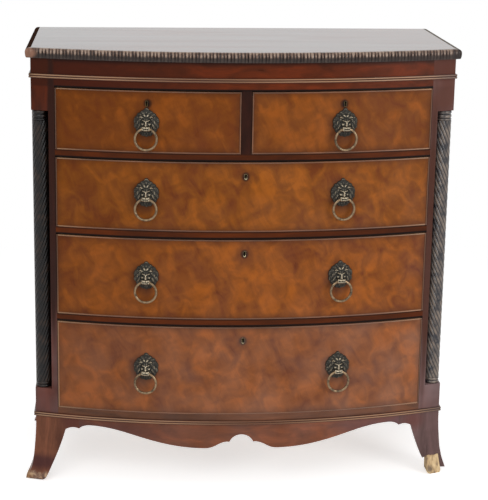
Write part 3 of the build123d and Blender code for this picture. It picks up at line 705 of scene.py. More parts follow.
@dataclass
class GadroonedEdge:
    """The carved thumb moulding round the top, in a front run and two side runs."""

    bow: Bow
    depth: float = 14.0
    foot_inset: float = 3.8
    head_inset: float = 8.8
    crest: float = 14.5
    height: float = 24.0
    pitch: float = 16.4
    lobe_share: float = 0.56
    bead: float = 0.92
    carving: float = 3.0
    corner_leaf: float = 27.0
    step: float = 1.0
    crease: float = 60.0

    def __post_init__(self) -> None:
        """Reads the moulding's place from the frame and draws its section.

        From foot to head the section is two quarter ellipses that meet at the crest:
        inset is how far a point lies from the outermost edge, and rise its height.
        """
        low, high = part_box("gadroon_front")
        self.half = high.x / MM
        self.base = low.z / MM
        self.out = self.bow.y(0.0) - low.y / MM
        self.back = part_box("gadroon_sides")[1].y / MM
        turn = np.linspace(0.0, np.pi / 2, 9)
        head = self.head_inset * (1 - np.cos(turn[1:]))
        self.inset = np.concatenate([self.foot_inset * (1 - np.sin(turn)), head])
        upper = self.crest + (self.height - self.crest) * np.sin(turn[1:])
        self.rise = np.concatenate([self.crest * (1 - np.cos(turn)), upper])

    def hollow(self, run: Array, to_corner: Array) -> Array:
        """How much of the carving's depth is gone at each point of the section.

        Along the run a round lobe and a narrower bead repeat, each half an ellipse high.
        Near a corner they give way to one leaf with two veins. The depth fades to
        nothing at the foot and the head as the root of a sine.

        Args:
            run: the distance along the moulding.
            to_corner: the distance to the nearest mitre.

        Returns:
            0 on a crest to 1 at the bottom of a cut.
        """
        place = np.mod(run / self.pitch, 1.0)
        lobe = 1 - (2 * place / self.lobe_share - 1) ** 2
        bead = 1 - (2 * (place - self.lobe_share) / (1 - self.lobe_share) - 1) ** 2
        lobe, bead = np.sqrt(np.clip(lobe, 0, 1)), self.bead * np.sqrt(np.clip(bead, 0, 1))
        high = np.where(place < self.lobe_share, lobe, bead)
        leaf = 0.72 + 0.28 * np.cos(4 * np.pi * to_corner / self.corner_leaf)
        share = smooth_step(to_corner, self.corner_leaf - 3, self.corner_leaf)
        high = high * share + leaf * (1 - share)
        fade = np.sqrt(np.sin(np.pi * np.clip(self.rise / self.height, 0.02, 0.98)))
        return (1 - high) * fade

    def add_run(self, surface: Surface, face: tuple, back: tuple, hollow: Array) -> None:
        """Adds one run of the moulding.

        Args:
            surface: the mesh that gets it.
            face: the carved face's x and y, a row for each place along the run.
            back: the flat back's x and y.
            hollow: how deep the carving goes at each point.
        """
        level = self.base + self.height * np.linspace(0, 1, len(self.rise))
        surface.tube(joined(*face, self.base + self.rise), joined(*back, level), hollow=hollow)

    def front(self) -> Piece:
        """Carries the section along the bow between the two mitres.

        Returns:
            The piece.
        """
        share = np.linspace(-1.0, 1.0, int(2 * self.half / self.step))[:, None]
        x = share * (self.half - self.inset)
        hollow = self.hollow(x, self.half - np.abs(x))
        y = self.bow.y(x, self.out - self.inset - self.carving * hollow)
        flat_x = share * np.full_like(self.rise, self.half - self.depth)
        surface = Surface()
        self.add_run(surface, (x, y), (flat_x, self.bow.y(flat_x, self.out - self.depth)), hollow)
        return surface.build("gadroon_front_carved", self.crease)

    def sides(self) -> Piece:
        """Carries the section straight back from each mitre.

        Returns:
            The piece.
        """
        surface = Surface()
        edge, wall = self.half - self.inset, self.half - self.depth
        start = self.bow.y(edge, self.out - self.inset)
        begin = self.bow.y(np.full_like(self.rise, wall), self.out - self.depth)
        share = np.linspace(0.0, 1.0, int((self.back - start[0]) / self.step))[:, None]
        y = start + share * (self.back - start)
        hollow = self.hollow(y, y - start)
        flat_y = begin + share * (self.back - begin)
        for side in (-1, 1):
            face = (side * (edge - self.carving * hollow), y)
            self.add_run(surface, face, (np.full_like(flat_y, side * wall), flat_y), hollow)
        return surface.build("gadroon_sides_carved", self.crease)


# ---- lion masks


@dataclass
class LionMask:
    """A cast lion's head on a scalloped plate, with its stud and nut.

    Locally a runs to the right, b up and the height out of the drawer front, all from
    the middle of the plate. Each feature is a bell mirrored across the face: its
    height, how far it leans up with a, its middle and its width.
    """

    radius: float = 31.0
    lobes: int = 14
    inner_lobes: int = 11
    lobe_depth: float = 2.2
    crest: float = 6.0
    beard: float = 2.5
    dome: Pair = (14.6, 15.5)
    dome_up: float = 1.5
    dome_foot: float = 3.5
    dome_rise: float = 11.0
    hinge_out: float = 14.0
    hinge_drop: float = 12.0
    muzzle_half: float = 9.8
    muzzle_radius: float = 6.3
    samples: int = 131
    front_thickness: float = 22.0
    stud_radius: float = 3.0
    stud_length: float = 32.0
    threads: int = 15
    thread_depth: float = 0.44
    nut_flats: float = 11.0
    nut_height: float = 5.0
    nut_gap: float = 0.1
    chamfer: float = 0.5
    features: tuple[tuple[float, float, Pair, Pair], ...] = (
        (3.8, 0.45, (6.4, 4.6), (4.4, 1.7)),  # brows
        (-1.6, 0.0, (0.0, 11.0), (1.2, 3.6)),  # furrow between them
        (-5.6, -0.1, (6.6, 4.2), (3.6, 2.1)),  # sockets
        (3.4, 0.0, (6.2, 3.0), (1.8, 1.2)),  # eyes
        (4.4, 0.0, (0.0, 1.0), (2.5, 7.0)),  # bridge of the nose
        (3.4, 0.0, (0.0, -4.8), (3.7, 1.7)),  # its tip
        (-2.2, 0.0, (2.2, -6.4), (1.0, 0.8)),  # nostrils
        (2.2, 0.0, (9.0, -2.4), (3.0, 3.4)),  # cheeks
    )

    def __post_init__(self) -> None:
        """Lays out the points (a, b) of the casting: a square grid pressed into the outline.

        The square's point (u, v) goes to u times the root of 1 minus half v squared, and
        the same for v, which fills a circle evenly.
        """
        line = np.linspace(-1.0, 1.0, self.samples)
        u, v = np.meshgrid(line, line, indexing="ij")
        p, q = u * np.sqrt(1 - v * v / 2), v * np.sqrt(1 - u * u / 2)
        edge = self.outline(np.abs(np.arctan2(p, q)))
        self.a, self.b = p * edge, q * edge
        self.side = np.abs(self.a)
        self.rim = np.clip((1 - np.hypot(p, q)) / 0.07, 0, 1)

    def combed(self, turn: Array) -> Array:
        """The angle from the top, drawn out so that the locks are wider at the cheeks."""
        return turn + 0.13 * np.sin(2 * turn) - 0.05 * np.sin(5 * turn)

    def outline(self, turn: Array) -> Array:
        """The plate's edge: a circle with rounded lobes, drawn out at the brow and beard.

        Args:
            turn: the angle from the top, in radians, the same on both sides.

        Returns:
            The radius at each angle.
        """
        lobe = np.abs(np.cos(self.lobes * self.combed(turn) / 2)) ** 0.7
        crest = self.crest * np.exp(-((turn / 0.24) ** 2))
        beard = self.beard * np.exp(-(((np.pi - turn) / 0.5) ** 2))
        return self.radius - self.lobe_depth * (1 - lobe) + crest + beard

    def hair(self, phase: Array, depth: float) -> Array:
        """Locks one phase wide: the bend of a cosine across, with fine strands on it."""
        return depth * (np.abs(np.cos(np.pi * phase)) - 0.6) + 0.3 * np.cos(8 * np.pi * phase)

    def mane(self) -> Array:
        """Two rings of locks, the inner one higher and set between the outer, and ears.

        The locks lean as the radius falls, the other way on the other side.

        Returns:
            The height at each point.
        """
        far = np.hypot(self.a, self.b)
        turn = self.combed(np.abs(np.arctan2(self.a, self.b)))
        lock = self.lobes * turn / (2 * np.pi) + 0.35 * (self.radius - far) / 10
        outer = 2.8 + 3.8 * smooth_step(self.radius - far, -2, 10) + self.hair(lock, 2.2)
        lock = self.inner_lobes * turn / (2 * np.pi) + 0.5 + 0.55 * (22 - far) / 8
        inner = 6.4 + 3.6 * np.exp(-(((far - 16.5) / 5.5) ** 2)) + self.hair(lock, 2.3)
        inner -= 9.0 * smooth_step(far, 21.5, 25.0)
        ears = 5.0 * bell(self.side, self.b, (13.5, 14.5), (3.2, 3.6))
        ears -= 4.0 * bell(self.side, self.b, (13.2, 13.8), (1.4, 1.9))
        return soft_max(outer, inner, 0.35) + ears

    def face(self) -> Array:
        """An oval dome with the features added.

        Returns:
            The height at each point.
        """
        inside = 1 - (self.a / self.dome[0]) ** 2 - ((self.b - self.dome_up) / self.dome[1]) ** 2
        height = self.dome_foot + self.dome_rise * np.sqrt(np.clip(inside, 0, 1))
        for rise, lean, middle, width in self.features:
            height += rise * bell(self.side, self.b - lean * self.side, middle, width)
        return height

    def muzzle(self) -> tuple[Array, Array]:
        """The jaws that hold the ring's pin: a round bar across, with the mouth cut in.

        Returns:
            The bar's height, and how much of it shows, from 0 to 1.
        """
        a, b, side = self.a, self.b, self.side
        below = b + self.hinge_drop
        bar = self.hinge_out + np.sqrt(np.clip(self.muzzle_radius**2 - below**2, 0.0, None))
        bar -= 1.8 * (side / self.muzzle_half) ** 4
        bar -= 2.6 * np.exp(-(((b + 12.4 - 0.03 * a * a) / 0.8) ** 2)) * (side < 8.4)
        bar -= 1.3 * np.exp(-((a / 0.7) ** 2)) * smooth_step(b, -13.5, -11.5)
        bar += 0.8 * bell(side, b, (4.6, -9.0), (3.0, 1.8))
        across = 1 - smooth_step(side, self.muzzle_half - 0.4, self.muzzle_half + 0.05)
        upright = 1 - smooth_step(np.abs(below), self.muzzle_radius - 0.5, self.muzzle_radius)
        return bar, across * upright

    def height(self) -> Array:
        """The whole casting's height, kept clear of the ring beside its jaws.

        Returns:
            The height at each point.
        """
        height = soft_max(self.mane(), self.face(), 0.3)
        over = self.b + 11.5
        clear = 10.4 + np.where(over > 0, 1.1, 0.17) * over
        beside = smooth_step(self.side, self.muzzle_half - 1.5, self.muzzle_half)
        height = np.minimum(height, np.where(beside > 0.02, clear + 9 * (1 - beside), 30.0))
        bar, shown = self.muzzle()
        height = height + shown * np.clip(bar - height, 0.0, None)
        return height * (0.45 + 0.55 * np.sqrt(self.rim))

    def relief(self, height: Array) -> Array:
        """How far a point stands above its surroundings, about one half on a flat.

        The surroundings are the mean of the height moved by some steps each way. The
        nose and the jaws count as higher, both for the wear of hands and as a painted
        highlight.

        Args:
            height: the grid of heights.

        Returns:
            A number from 0 to 1 for each point.
        """
        moves = [(rows, columns) for rows in (-4, 0, 4) for columns in (-4, 0, 4)]
        mean = sum(np.roll(height, move, axis=(0, 1)) for move in moves) / len(moves)
        # Painted highlight on the nose and jaws, along with the wear of hands.
        handled = 0.34 * bell(self.a, self.b, (0.0, -5.0), (6.0, 7.5)) - 0.07
        return np.clip(np.clip(0.5 + 0.3 * (height - mean), 0, 1) + handled, 0, 1)

    def add_casting(self, surface: Surface, place: Array) -> None:
        """Adds the head, with a wall round it and a flat back.

        Args:
            surface: the mesh that gets it.
            place: the mask's turn and place, a four by four matrix in millimetres.
        """
        height = self.height()
        front, back = (moved(joined(self.a, -out, self.b), place) for out in (height, 0 * height))
        surface.tube(front, back, relief=self.relief(height))

    def add_stud(self, surface: Surface, place: Array) -> None:
        """Adds the stud and its six-sided nut, each a ring of points carried along.

        Args:
            surface: the mesh that gets them.
            place: the mask's turn and place.
        """
        turn = around(24)
        turns = np.linspace(0.0, 1.0, 60)
        wave = 1 + np.cos(turns * 2 * np.pi * self.threads)
        thread = self.stud_radius - self.thread_depth / 2 * wave * (turns > 0.55)
        post = np.concatenate([[0.0], thread, [0.0]])[:, None]
        along = self.stud_length * np.concatenate([[0.0], turns, [1.0]])[:, None]
        third = np.mod(turn + np.pi / 6, np.pi / 3) - np.pi / 6
        flats = (self.nut_flats / 2) / np.cos(third)
        bore = np.full_like(turn, self.stud_radius + 0.02)
        bevel = np.minimum(flats, self.nut_flats / 2 + 0.1)
        nut = np.stack([bore, bevel, flats, flats, bevel, bore, bore])
        top = self.nut_height
        depth = np.array([0.0, 0.0, self.chamfer, top - self.chamfer, top, top, 0.0])[:, None]
        depth = self.front_thickness + self.nut_gap + depth
        for radius, deep, value in ((post, along, 0.55), (nut, depth, 0.6)):
            points = joined(radius * np.cos(turn), deep, radius * np.sin(turn))
            surface.grid(moved(points, place), wrap=True, relief=value)

    def place(self, joint: dict) -> Array:
        """Where the mask sits, from the hinge of its ring.

        The hinge's axis lies along the plate, the pin is hinge_out in front of it and
        hinge_drop below its middle.

        Args:
            joint: the ring's row in the frame's joints.

        Returns:
            The turn and place in millimetres.
        """
        angle = math.atan2(-joint["axis"][1], -joint["axis"][0])
        outward = Vector((math.sin(angle), -math.cos(angle), 0.0))
        pin = Vector(joint["pos_m"]) / MM
        middle = pin - self.hinge_out * outward + Vector((0, 0, self.hinge_drop))
        return np.array(Matrix.Translation(middle) @ Matrix.Rotation(angle, 4, "Z"))

    def build(self, drawer: str, joints: list[dict]) -> Piece:
        """Makes one drawer's masks as one piece.

        Args:
            drawer: the drawer's body.
            joints: the frame's joints.

        Returns:
            The piece.
        """
        surface = Surface()
        for joint in rings_of(drawer, joints):
            self.add_casting(surface, self.place(joint))
            self.add_stud(surface, self.place(joint))
        return surface.build(f"{drawer}_lion_masks", crease=75)


def rings_of(drawer: str, joints: list[dict]) -> list[dict]:
    """The hinges of the rings that hang on a drawer."""
    return [joint for joint in joints if joint["parent"] == drawer and joint["type"] == "hinge"]


# ---- keyholes


@dataclass
class KeyholeRim:
    """The raised brass thread round a keyhole, proud of the veneer.

    It has worn thin over the head and is still thick at the foot.
    """

    bow: Bow
    drop: float
    radius: float = 3.9
    foot: float = 9.6
    wire: Pair = (0.2, 1.25)

    def outline(self, turn: Array) -> tuple[Array, Array]:
        """A drop with a round head: a circle whose lower half is drawn down and pinched.

        Args:
            turn: the angle from the right, anticlockwise, in radians.

        Returns:
            The places across and up.
        """
        down = np.clip(-np.sin(turn), 0, 1)
        across = self.radius * np.cos(turn) * (1 - 0.2 * np.sin(np.pi * down))
        up = self.radius * np.clip(np.sin(turn), 0, 1) - self.foot * down**0.8
        return across, up

    def build(self, drawer: str) -> Piece:
        """Carries a round wire along the outline, laid on the bow.

        Args:
            drawer: the drawer's body.

        Returns:
            The piece.
        """
        low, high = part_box(f"{drawer}_lock")
        across, up = self.outline(around(64))
        outward = np.stack([np.gradient(up), -np.gradient(across)])
        outward /= np.hypot(*outward)
        section = around(12)[:, None]
        wire = np.interp(-up, (0.5 * self.foot, self.foot), self.wire)
        x = (low.x + high.x) / 2 / MM + across + wire * np.cos(section) * outward[0]
        z = high.z / MM - self.drop + up + wire * np.cos(section) * outward[1]
        points = joined(x, self.bow.y(x, wire * np.sin(section)), z)
        surface = Surface()
        surface.grid(np.concatenate([points, points[:1]]), wrap=True)
        return surface.build(f"{drawer}_keyhole_rim", crease=60)


# ---- front feet


@dataclass
class BracketFoot:
    """A splayed bracket foot: a front facing and a side facing, mitred at the corner.

    A column of its grid is named by its distance from the corner, and runs from the
    bracket's lower edge up to the case.
    """

    bow: Bow
    side: int
    corner: float = 513.0
    top: float = 167.0
    thickness: float = 20.0
    splay: float = 28.0
    splay_height: float = 150.0
    left_ankle: Pair = (60.0, 2.2)
    right_ankle: Pair = (75.0, 1.6)
    toe: float = 20.0
    knee: Pair = (51.5, 68.5)
    leg: Pair = (75.0, 137.0)
    arch: Pair = (92.75, 143.7)
    cusp: Pair = (108.5, 141.5)
    block: float = 32.0
    block_height: float = 70.0
    block_cut: float = 9.0
    worn: float = 22.0
    toe_round: float = 17.0
    chip: float = 51.0
    core_width: float = 29.5
    core_round: float = 13.0
    heel: float = 12.0
    veneer: float = 2.5
    flap: float = 46.0
    flap_low: float = 13.0
    rows: int = 150

    def __post_init__(self) -> None:
        """Finds the case's corner and the inner faces' corner in plan."""
        self.base = self.bow.y(self.corner)
        self.wall = self.corner - self.thickness
        self.wall_y = self.bow.y(self.wall, -self.thickness)

    def lower_edge(self, inset: Array, front: Array | bool) -> Array:
        """The bracket's lower edge above the floor, at each distance from the corner.

        It is nothing under the toe, then the parabola in height through toe, knee and
        leg, then the parabola through leg, arch and cusp. Where the right foot's front
        has lost its veneer, the core stands upright instead, with a quarter circle at
        the floor.

        Args:
            inset: the distances from the corner.
            front: whether each column is on the front facing.

        Returns:
            The heights.
        """
        heights = np.linspace(0.0, self.leg[1], 200)
        curve = np.polyfit([0.0, self.knee[1], self.leg[1]], [self.toe, self.knee[0], self.leg[0]], 2)
        calf = np.interp(inset, np.polyval(curve, heights), heights)
        if self.side > 0:
            turn = np.clip((inset - self.core_width) / self.heel + 1, 0, 1)
            core = self.heel * (1 - np.sqrt(1 - turn**2))
            core = np.where(inset < self.core_width, core, np.maximum(calf, self.chip - 5.0))
            calf = np.where(front, core, calf)
        arch = np.polyval(np.polyfit(*zip(self.leg, self.arch, self.cusp), 2), inset)
        return np.where(inset < self.toe, 0.0, np.where(inset < self.leg[0], calf, arch))

    def kick(self, height: Array) -> Array:
        """How far the foot splays out of the case's own face at a height.

        Half of it grows with a power of the depth below splay_height, and half with a
        power of the depth below the ankle, whose height and power differ left and right.

        Args:
            height: the heights above the floor.

        Returns:
            The distances.
        """
        ankle, power = self.right_ankle if self.side > 0 else self.left_ankle
        slow = np.clip(1 - height / self.splay_height, 0, 1) ** 1.5
        return self.splay * (slow + np.clip(1 - height / ankle, 0, 1) ** power) / 2

    def build(self) -> Piece:
        """Makes the foot with its wear, and its glue block.

        Returns:
            The piece.
        """
        far = np.linspace(self.cusp[0], 0.0, 110)
        columns = np.concatenate([far, far[::-1][1:]])
        on_front = np.arange(len(columns)) < len(far)
        share = np.linspace(0.0, 1.0, self.rows) ** 1.25
        low = self.lower_edge(columns, on_front)
        z = low[:, None] + share * (self.top - low[:, None])
        inset, front = (np.broadcast_to(v[:, None], z.shape) for v in (columns, on_front))
        outer, bare = self.skin(inset, z, front)
        inner = self.lining(inset, z, front)
        for sheet in (outer, inner):
            sheet[..., 0] *= self.side
        surface = Surface()
        surface.tube(outer, inner, bare=bare)
        if self.side > 0:
            self.add_flap(surface)
        self.add_block(surface)
        name = "right" if self.side > 0 else "left"
        return surface.build(f"front_foot_{name}_veneered", crease=50)

    def skin(self, inset: Array, z: Array, front: Array) -> tuple[Array, Array]:
        """The outer faces, with the wear cut into them.

        The left toe is rounded off below toe_round, and its veneer has gone below worn.
        On the right foot the veneer stops at a ragged line near chip. The core below it
        is recessed by the veneer's thickness, splays two thirds as far to the front, and
        rounds off at the floor.

        Args:
            inset: each point's distance from the corner.
            z: each point's height.
            front: whether each point is on the front facing.

        Returns:
            The points, and how bare the wood is at each.
        """
        kick = self.kick(z)
        if self.side > 0:
            ragged = 0.9 * np.sin(inset * 0.31) + 0.5 * np.sin(inset * 0.83 + 1.0)
            line = self.chip + np.where(front, ragged - 4.0 * smooth_step(inset, 32, 44), 2.0)
            bare = 1 - smooth_step(z, line - 0.6, line + 0.6)
            knots = 0.6 * np.sin(inset * 0.23 + z * 0.11) + 0.5 * np.sin(z * 0.37 + inset * 0.5)
            rounded = np.clip(1 - z / self.core_round, 0, 1) ** 2
            forward = kick * (1 - 0.35 * bare) - bare * (self.veneer + 0.6 * knots + 5.0 * rounded)
            sideways = kick * (1 - 0.5 * bare) - bare * (self.veneer + 4.0 * rounded)
            shift = 2.0 * rounded * bare * smooth_step(inset, 6.0, 26.0)
        else:
            edge = self.worn + 2.4 * np.sin(inset * 0.35) + 1.3 * np.sin(inset * 0.9 + 2.0)
            bare = 1 - smooth_step(z, edge - 6.0, edge + 4.0)
            rounded = 1 - np.sqrt(1 - np.clip(1 - z / self.toe_round, 0, 1) ** 2)
            forward = kick - self.toe_round * rounded
            sideways = kick - 0.8 * rounded
            shift = 9.0 * rounded * smooth_step(inset, 6.0, 20.0)
        reach = np.clip(1 - inset / self.toe, 0, 1)
        along = inset - shift
        front_x = self.corner - along + sideways * reach
        corner_y = self.bow.y(self.corner + sideways, forward)
        side_y = self.base + along + (corner_y - self.base) * reach
        x = np.where(front, front_x, self.corner + sideways)
        return joined(x, np.where(front, self.bow.y(front_x, forward), side_y), z), bare

    def lining(self, inset: Array, z: Array, front: Array) -> Array:
        """The inner faces, upright, one thickness inside the case's own.

        Args:
            inset: each point's distance from the corner.
            z: each point's height.
            front: whether each point is on the front facing.

        Returns:
            The points.
        """
        front_x = np.minimum(self.corner - inset, self.wall)
        side_y = np.maximum(self.base + inset, self.wall_y)
        y = np.where(front, self.bow.y(front_x, -self.thickness), side_y)
        return joined(np.where(front, front_x, self.wall), y, z)

    def add_flap(self, surface: Surface) -> None:
        """Adds the side's veneer and ground, which still flare out past the lost front.

        Its outer face keeps the full splay, and its inner face lies inside the core.

        Args:
            surface: the mesh that gets it.
        """
        top = self.chip + 4.0
        along = np.linspace(0.0, self.flap, 50)
        low = self.flap_low + 1.8 * np.sin(along * 0.4) + 1.2 * np.sin(along * 1.1 + 2.0)
        low = np.minimum(np.maximum(low, self.lower_edge(along, False)), top - 0.2)
        z = low[:, None] + np.linspace(0.0, 1.0, 30) * (top - low[:, None])
        kick = self.kick(z)
        start = self.bow.y(self.corner + kick, 0.65 * kick - self.veneer)
        reach = np.clip(1 - along / self.toe, 0, 1)[:, None]
        y = self.base + along[:, None] + (start - self.base) * reach
        outer = joined(self.corner + kick, y, z)
        inner = joined(self.corner + 0.4 * kick - 2 * self.veneer, y, z)
        surface.tube(outer, inner, bare=np.zeros_like(z))

    def add_block(self, surface: Surface) -> None:
        """Adds the glue block: a square post in the inner corner with a cut-off arris.

        Args:
            surface: the mesh that gets it.
        """
        near, far = self.wall_y, self.wall_y + self.block
        end = self.wall - self.block
        last = (end, self.bow.y(end, -self.thickness))
        cut = self.block_cut
        plan = np.array([(self.wall, near), (self.wall, far), (end + cut, far), (end, far - cut), last])
        plan[:, 0] *= self.side
        middle = np.broadcast_to(plan.mean(axis=0), plan.shape)
        low, high = self.top - self.block_height, self.top
        rings = [(middle, low), (plan, low), (plan, high), (middle, high)]
        points = [joined(ring[:, 0], ring[:, 1], height) for ring, height in rings]
        surface.grid(np.stack(points), wrap=True, bare=0.8)


# ---- dressing


DRAWER_COLOURS = {
    "left_drawer": "#743d0f",
    "right_drawer": "#743e0f",
    "upper_drawer": "#7e4510",
    "middle_drawer": "#824612",
    "lower_drawer": "#844719",
}
SHORT_DRAWERS = ("left_drawer", "right_drawer")
STILE_INSET = 0.0485
# Painted sheen: greyish haze that stands in for reflections of the floor and the key lamp in the polish.
CASE_SHEEN = PaintedSheen(0.25)
LOWER_SHEEN = PaintedSheen(0.16, "#b09a90")
DRAWER_SHEEN = PaintedSheen(0.05)
CASE_FINISHES = {
    "top_board": "polished_mahogany_top",
    "frieze_rail": "mahogany_frieze",
    "drawer_rails": "mahogany_rail",
    "bottom_rail": "mahogany_bottom_rail",
    "corner_post_left": "mahogany_post_left",
    "corner_post_right": "mahogany_post_right",
    "centre_divider": "mahogany_divider",
    "side_panel_left": "mahogany_side",
    "side_panel_right": "mahogany_side",
    "upper_string": "mahogany_string",
    "lower_string": "mahogany_string",
    "apron": "mahogany_apron",
    "back_feet": "mahogany_side",
    "column_left": "ebonised_beech",
    "column_right": "ebonised_beech_right_painted_highlights",
    "backboards": "pine_backboard_bare",
    "dustboards": "pine_dustboard_bare",
    "drawer_guides": "pine_dustboard_bare",
}
DRAWER_FINISHES = {
    "beads": "mahogany_bead",
    "box": "oak_drawer_lining",
    "lock": "lock_brass_dull",
    "bolt": "lock_brass_dull",
}


def key_drop(drawer: str) -> float:
    """How far below its lock's top a keyhole lies: less on the two short drawers."""
    return 27.0 if drawer in SHORT_DRAWERS else 32.0


def shades(middle: str, spread: float = 0.24) -> Stops:
    """A ramp from a darker to a lighter shade of one colour, each channel scaled alike.

    Args:
        middle: the colour as #rrggbb.
        spread: how far, as a share, the ends lie from it.

    Returns:
        The ramp's positions and colours.
    """
    channels = [int(middle[start : start + 2], 16) for start in (1, 3, 5)]
    ramp: Stops = []
    for position, share in ((0.3, 1 - spread), (0.5, 1.0), (0.7, 1 + spread)):
        scaled = (min(255, round(channel * share)) for channel in channels)
        ramp.append((position, "#" + "".join(f"{channel:02x}" for channel in scaled)))
    return ramp


def solid(name: str, colour: str, grain: Grain, *changes: Change, **settings: object) -> Timber:
    """Solid wood, planed, with a straight narrow figure.

    Args:
        name: the finish's name.
        colour: its middle colour.
        grain: the way the fibres run.
        changes: the changes of colour, painted light and shade among them.
        settings: fields of the finish that differ.

    Returns:
        The finish.
    """
    return Timber(name, shades(colour), grain, changes=changes, **settings)


class Finishes:
    """Every finish on the chest, made once and looked up by name."""

    def __init__(self, joints: list[dict]) -> None:
        """Makes the materials.

        Args:
            joints: the frame's joints, whose rings say where the masks stand.
        """
        self.made: dict[str, bpy.types.Material] = {}
        fronts = [self.front(number, drawer, joints) for number, drawer in enumerate(DRAWER_COLOURS)]
        for finish in (*fronts, *self.case_woods(), *self.other_woods(), *self.mouldings(), *self.metals()):
            self.made[finish.name] = finish.make()

    def front(self, number: int, drawer: str, joints: list[dict]) -> Timber:
        """A drawer's front: sliced veneer, French polished.

        The figure is cloudy and leans, as in a crotch cut. Polish has darkened the
        borders and dirt has gathered round the keyhole. The keyhole's opening is painted
        black as painted shade, a painted shadow falls to the left of and below each mask,
        and a painted sheen greys the front.

        Args:
            number: which leaf of veneer it is, which moves the figure.
            drawer: the drawer's body.
            joints: the frame's joints.

        Returns:
            The finish.
        """
        low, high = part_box(f"{drawer}_front")
        lock_low, lock_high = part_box(f"{drawer}_lock")
        middle = ((low.x + high.x) / 2, (low.z + high.z) / 2)
        half = ((high.x - low.x) / 2, (high.z - low.z) / 2)
        keyhole = ((lock_low.x + lock_high.x) / 2, lock_high.z - (key_drop(drawer) + 3) * MM)
        masks = [(j["pos_m"][0] - 0.005, j["pos_m"][2] + 0.004) for j in rings_of(drawer, joints)]
        return Timber(
            f"flame_mahogany_veneer_{drawer}",
            [(0.3, "#66300f"), *shades(DRAWER_COLOURS[drawer])[1:]],
            Grain.UPRIGHT,
            figure_mm=36.0,
            figure_stretch=0.7,
            figure_tilt=25.0,
            distortion=0.8,
            ripple=0.16,
            fibre=0.14,
            specular=0.06,
            seed=(0.31 + 0.93 * number, 0.0, 0.62 * number),
            changes=(
                Border(middle, half),
                Mark((-0.5, 0.0), (0.6, ANY), "#5c2e0c", 0.3, 1.0),
                Mark(keyhole, (0.03, 0.034), "#4c2410", 0.5, 0.9),
                Mark(keyhole, (0.0125, 0.0145), "#2a1408", 0.85, 0.5),
                # Painted shade: the keyhole's opening is painted black.
                Mark(keyhole, (0.006, 0.0105), "#0a0605", 0.95, 0.5),
                # Painted shadow to the left of and below each mask.
                *(Mark(mask, (0.046, 0.05), "#3c1c0a", 0.65, 0.5) for mask in masks),
                LOWER_SHEEN if drawer == "lower_drawer" else DRAWER_SHEEN,
            ),
        )

    def case_woods(self) -> list[Timber]:
        """The case's own boards: dark red mahogany, planed and French polished.

        Returns:
            The finishes.
        """
        fronts = {name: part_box(f"{name}_front") for name in DRAWER_COLOURS}
        high = fronts["left_drawer"][1].z
        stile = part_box("corner_post_right")[1].x - STILE_INSET
        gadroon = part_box("gadroon_front")[0].z
        arrises = [fronts[name][1].z for name in ("upper_drawer", "middle_drawer", "lower_drawer")]
        # Painted shadows: a black line along the gap above each long drawer, and a dark one in the gap below
        # each drawer's seat.
        gap_shadows = [Mark((0.0, z + 0.0024), (ANY, 0.0052), "#070302", 0.97) for z in arrises]
        seats = [fronts[name][0].z for name in ("left_drawer", "upper_drawer", "middle_drawer")]
        gap_shadows += [Mark((0.0, z - 0.001), (ANY, 0.0034), "#140804", 0.6) for z in seats]
        left = (
            Mark((0.0, high + 0.05), (ANY, 0.05), "#3c1606", 1.0, 0.1),
            CASE_SHEEN,
            Mark((-stile, 0.74), (0.014, 0.44), "#26120c", 0.85, 0.35),
        )
        right = (
            Mark((0.0, high + 0.05), (ANY, 0.05), "#50220f", 1.0, 0.1),
            CASE_SHEEN,
            Mark((stile, 0.6), (0.014, 0.5), "#452518", 0.85, 0.5),
            Mark((0.49, 1.05), (0.07, 0.04), "#52281b", 0.85, 0.5),
            Mark((0.49, 0.98), (0.05, 0.05), "#563024", 0.75, 0.7),
        )
        frieze = (
            Mark((-0.52, 0.0), (0.55, ANY), "#3c1406", 1.0, 1.0),
            # Painted shadows: a black line along the gap above the short drawers, and a dark band under the
            # carved edge.
            Mark((0.0, high + 0.0024), (ANY, 0.0052), "#070302", 0.97),
            Mark((0.0, gadroon), (ANY, 0.014), "#1e0a06", 0.7, 1.0),
        )
        apron = (
            Mark((-0.32, 0.14), (0.2, 0.05), "#43211c", 0.75, 0.9),
            Mark((-0.42, 0.15), (0.06, 0.05), "#4c2a24", 0.8, 0.9),
            Mark((0.34, 0.15), (0.16, 0.05), "#533236", 0.6, 0.9),
            Mark((0.42, 0.15), (0.07, 0.05), "#5e4448", 0.85, 0.9),
            # Painted sheen on the apron.
            PaintedSheen(0.08),
        )
        top = Mark((-0.52, 0.0), (0.3, ANY), "#2a100c", 0.9, 1.0)
        mirror = {"figure_mm": 70.0, "figure_stretch": 0.1, "roughness": 0.2, "specular": 0.5, "coat": 0.3}
        across, upright = Grain.ACROSS, Grain.UPRIGHT
        return [
            # Planed solid wood under French polish; a painted sheen greys the posts low down and to the
            # right.
            solid("mahogany_post_left", "#4d1e0a", upright, *left),
            solid("mahogany_post_right", "#4d1e0a", upright, *right, seed=(1.3, 0.4, 0.2)),
            solid("mahogany_frieze", "#56230c", across, *frieze, figure_stretch=0.4, seed=(0.2, 0.0, 0.9)),
            # Painted shadow: the rails are black along the gaps above and below the drawers.
            solid("mahogany_rail", "#4c2006", across, *gap_shadows, seed=(0.7, 0.2, 0.4)),
            # The bottom rail and the sides carry a painted sheen.
            solid("mahogany_bottom_rail", "#5f3a24", across, PaintedSheen(0.06), seed=(0.1, 0.6, 0.4)),
            solid("mahogany_divider", "#2c130b", upright),
            solid("mahogany_side", "#4d2010", upright, PaintedSheen(0.12), figure_mm=60.0),
            solid("mahogany_apron", "#6e3c20", across, *apron, figure_stretch=0.4),
            # Polished often, so it mirrors the window: smoother than the rest.
            solid("polished_mahogany_top", "#4a2416", across, top, **mirror),
        ]

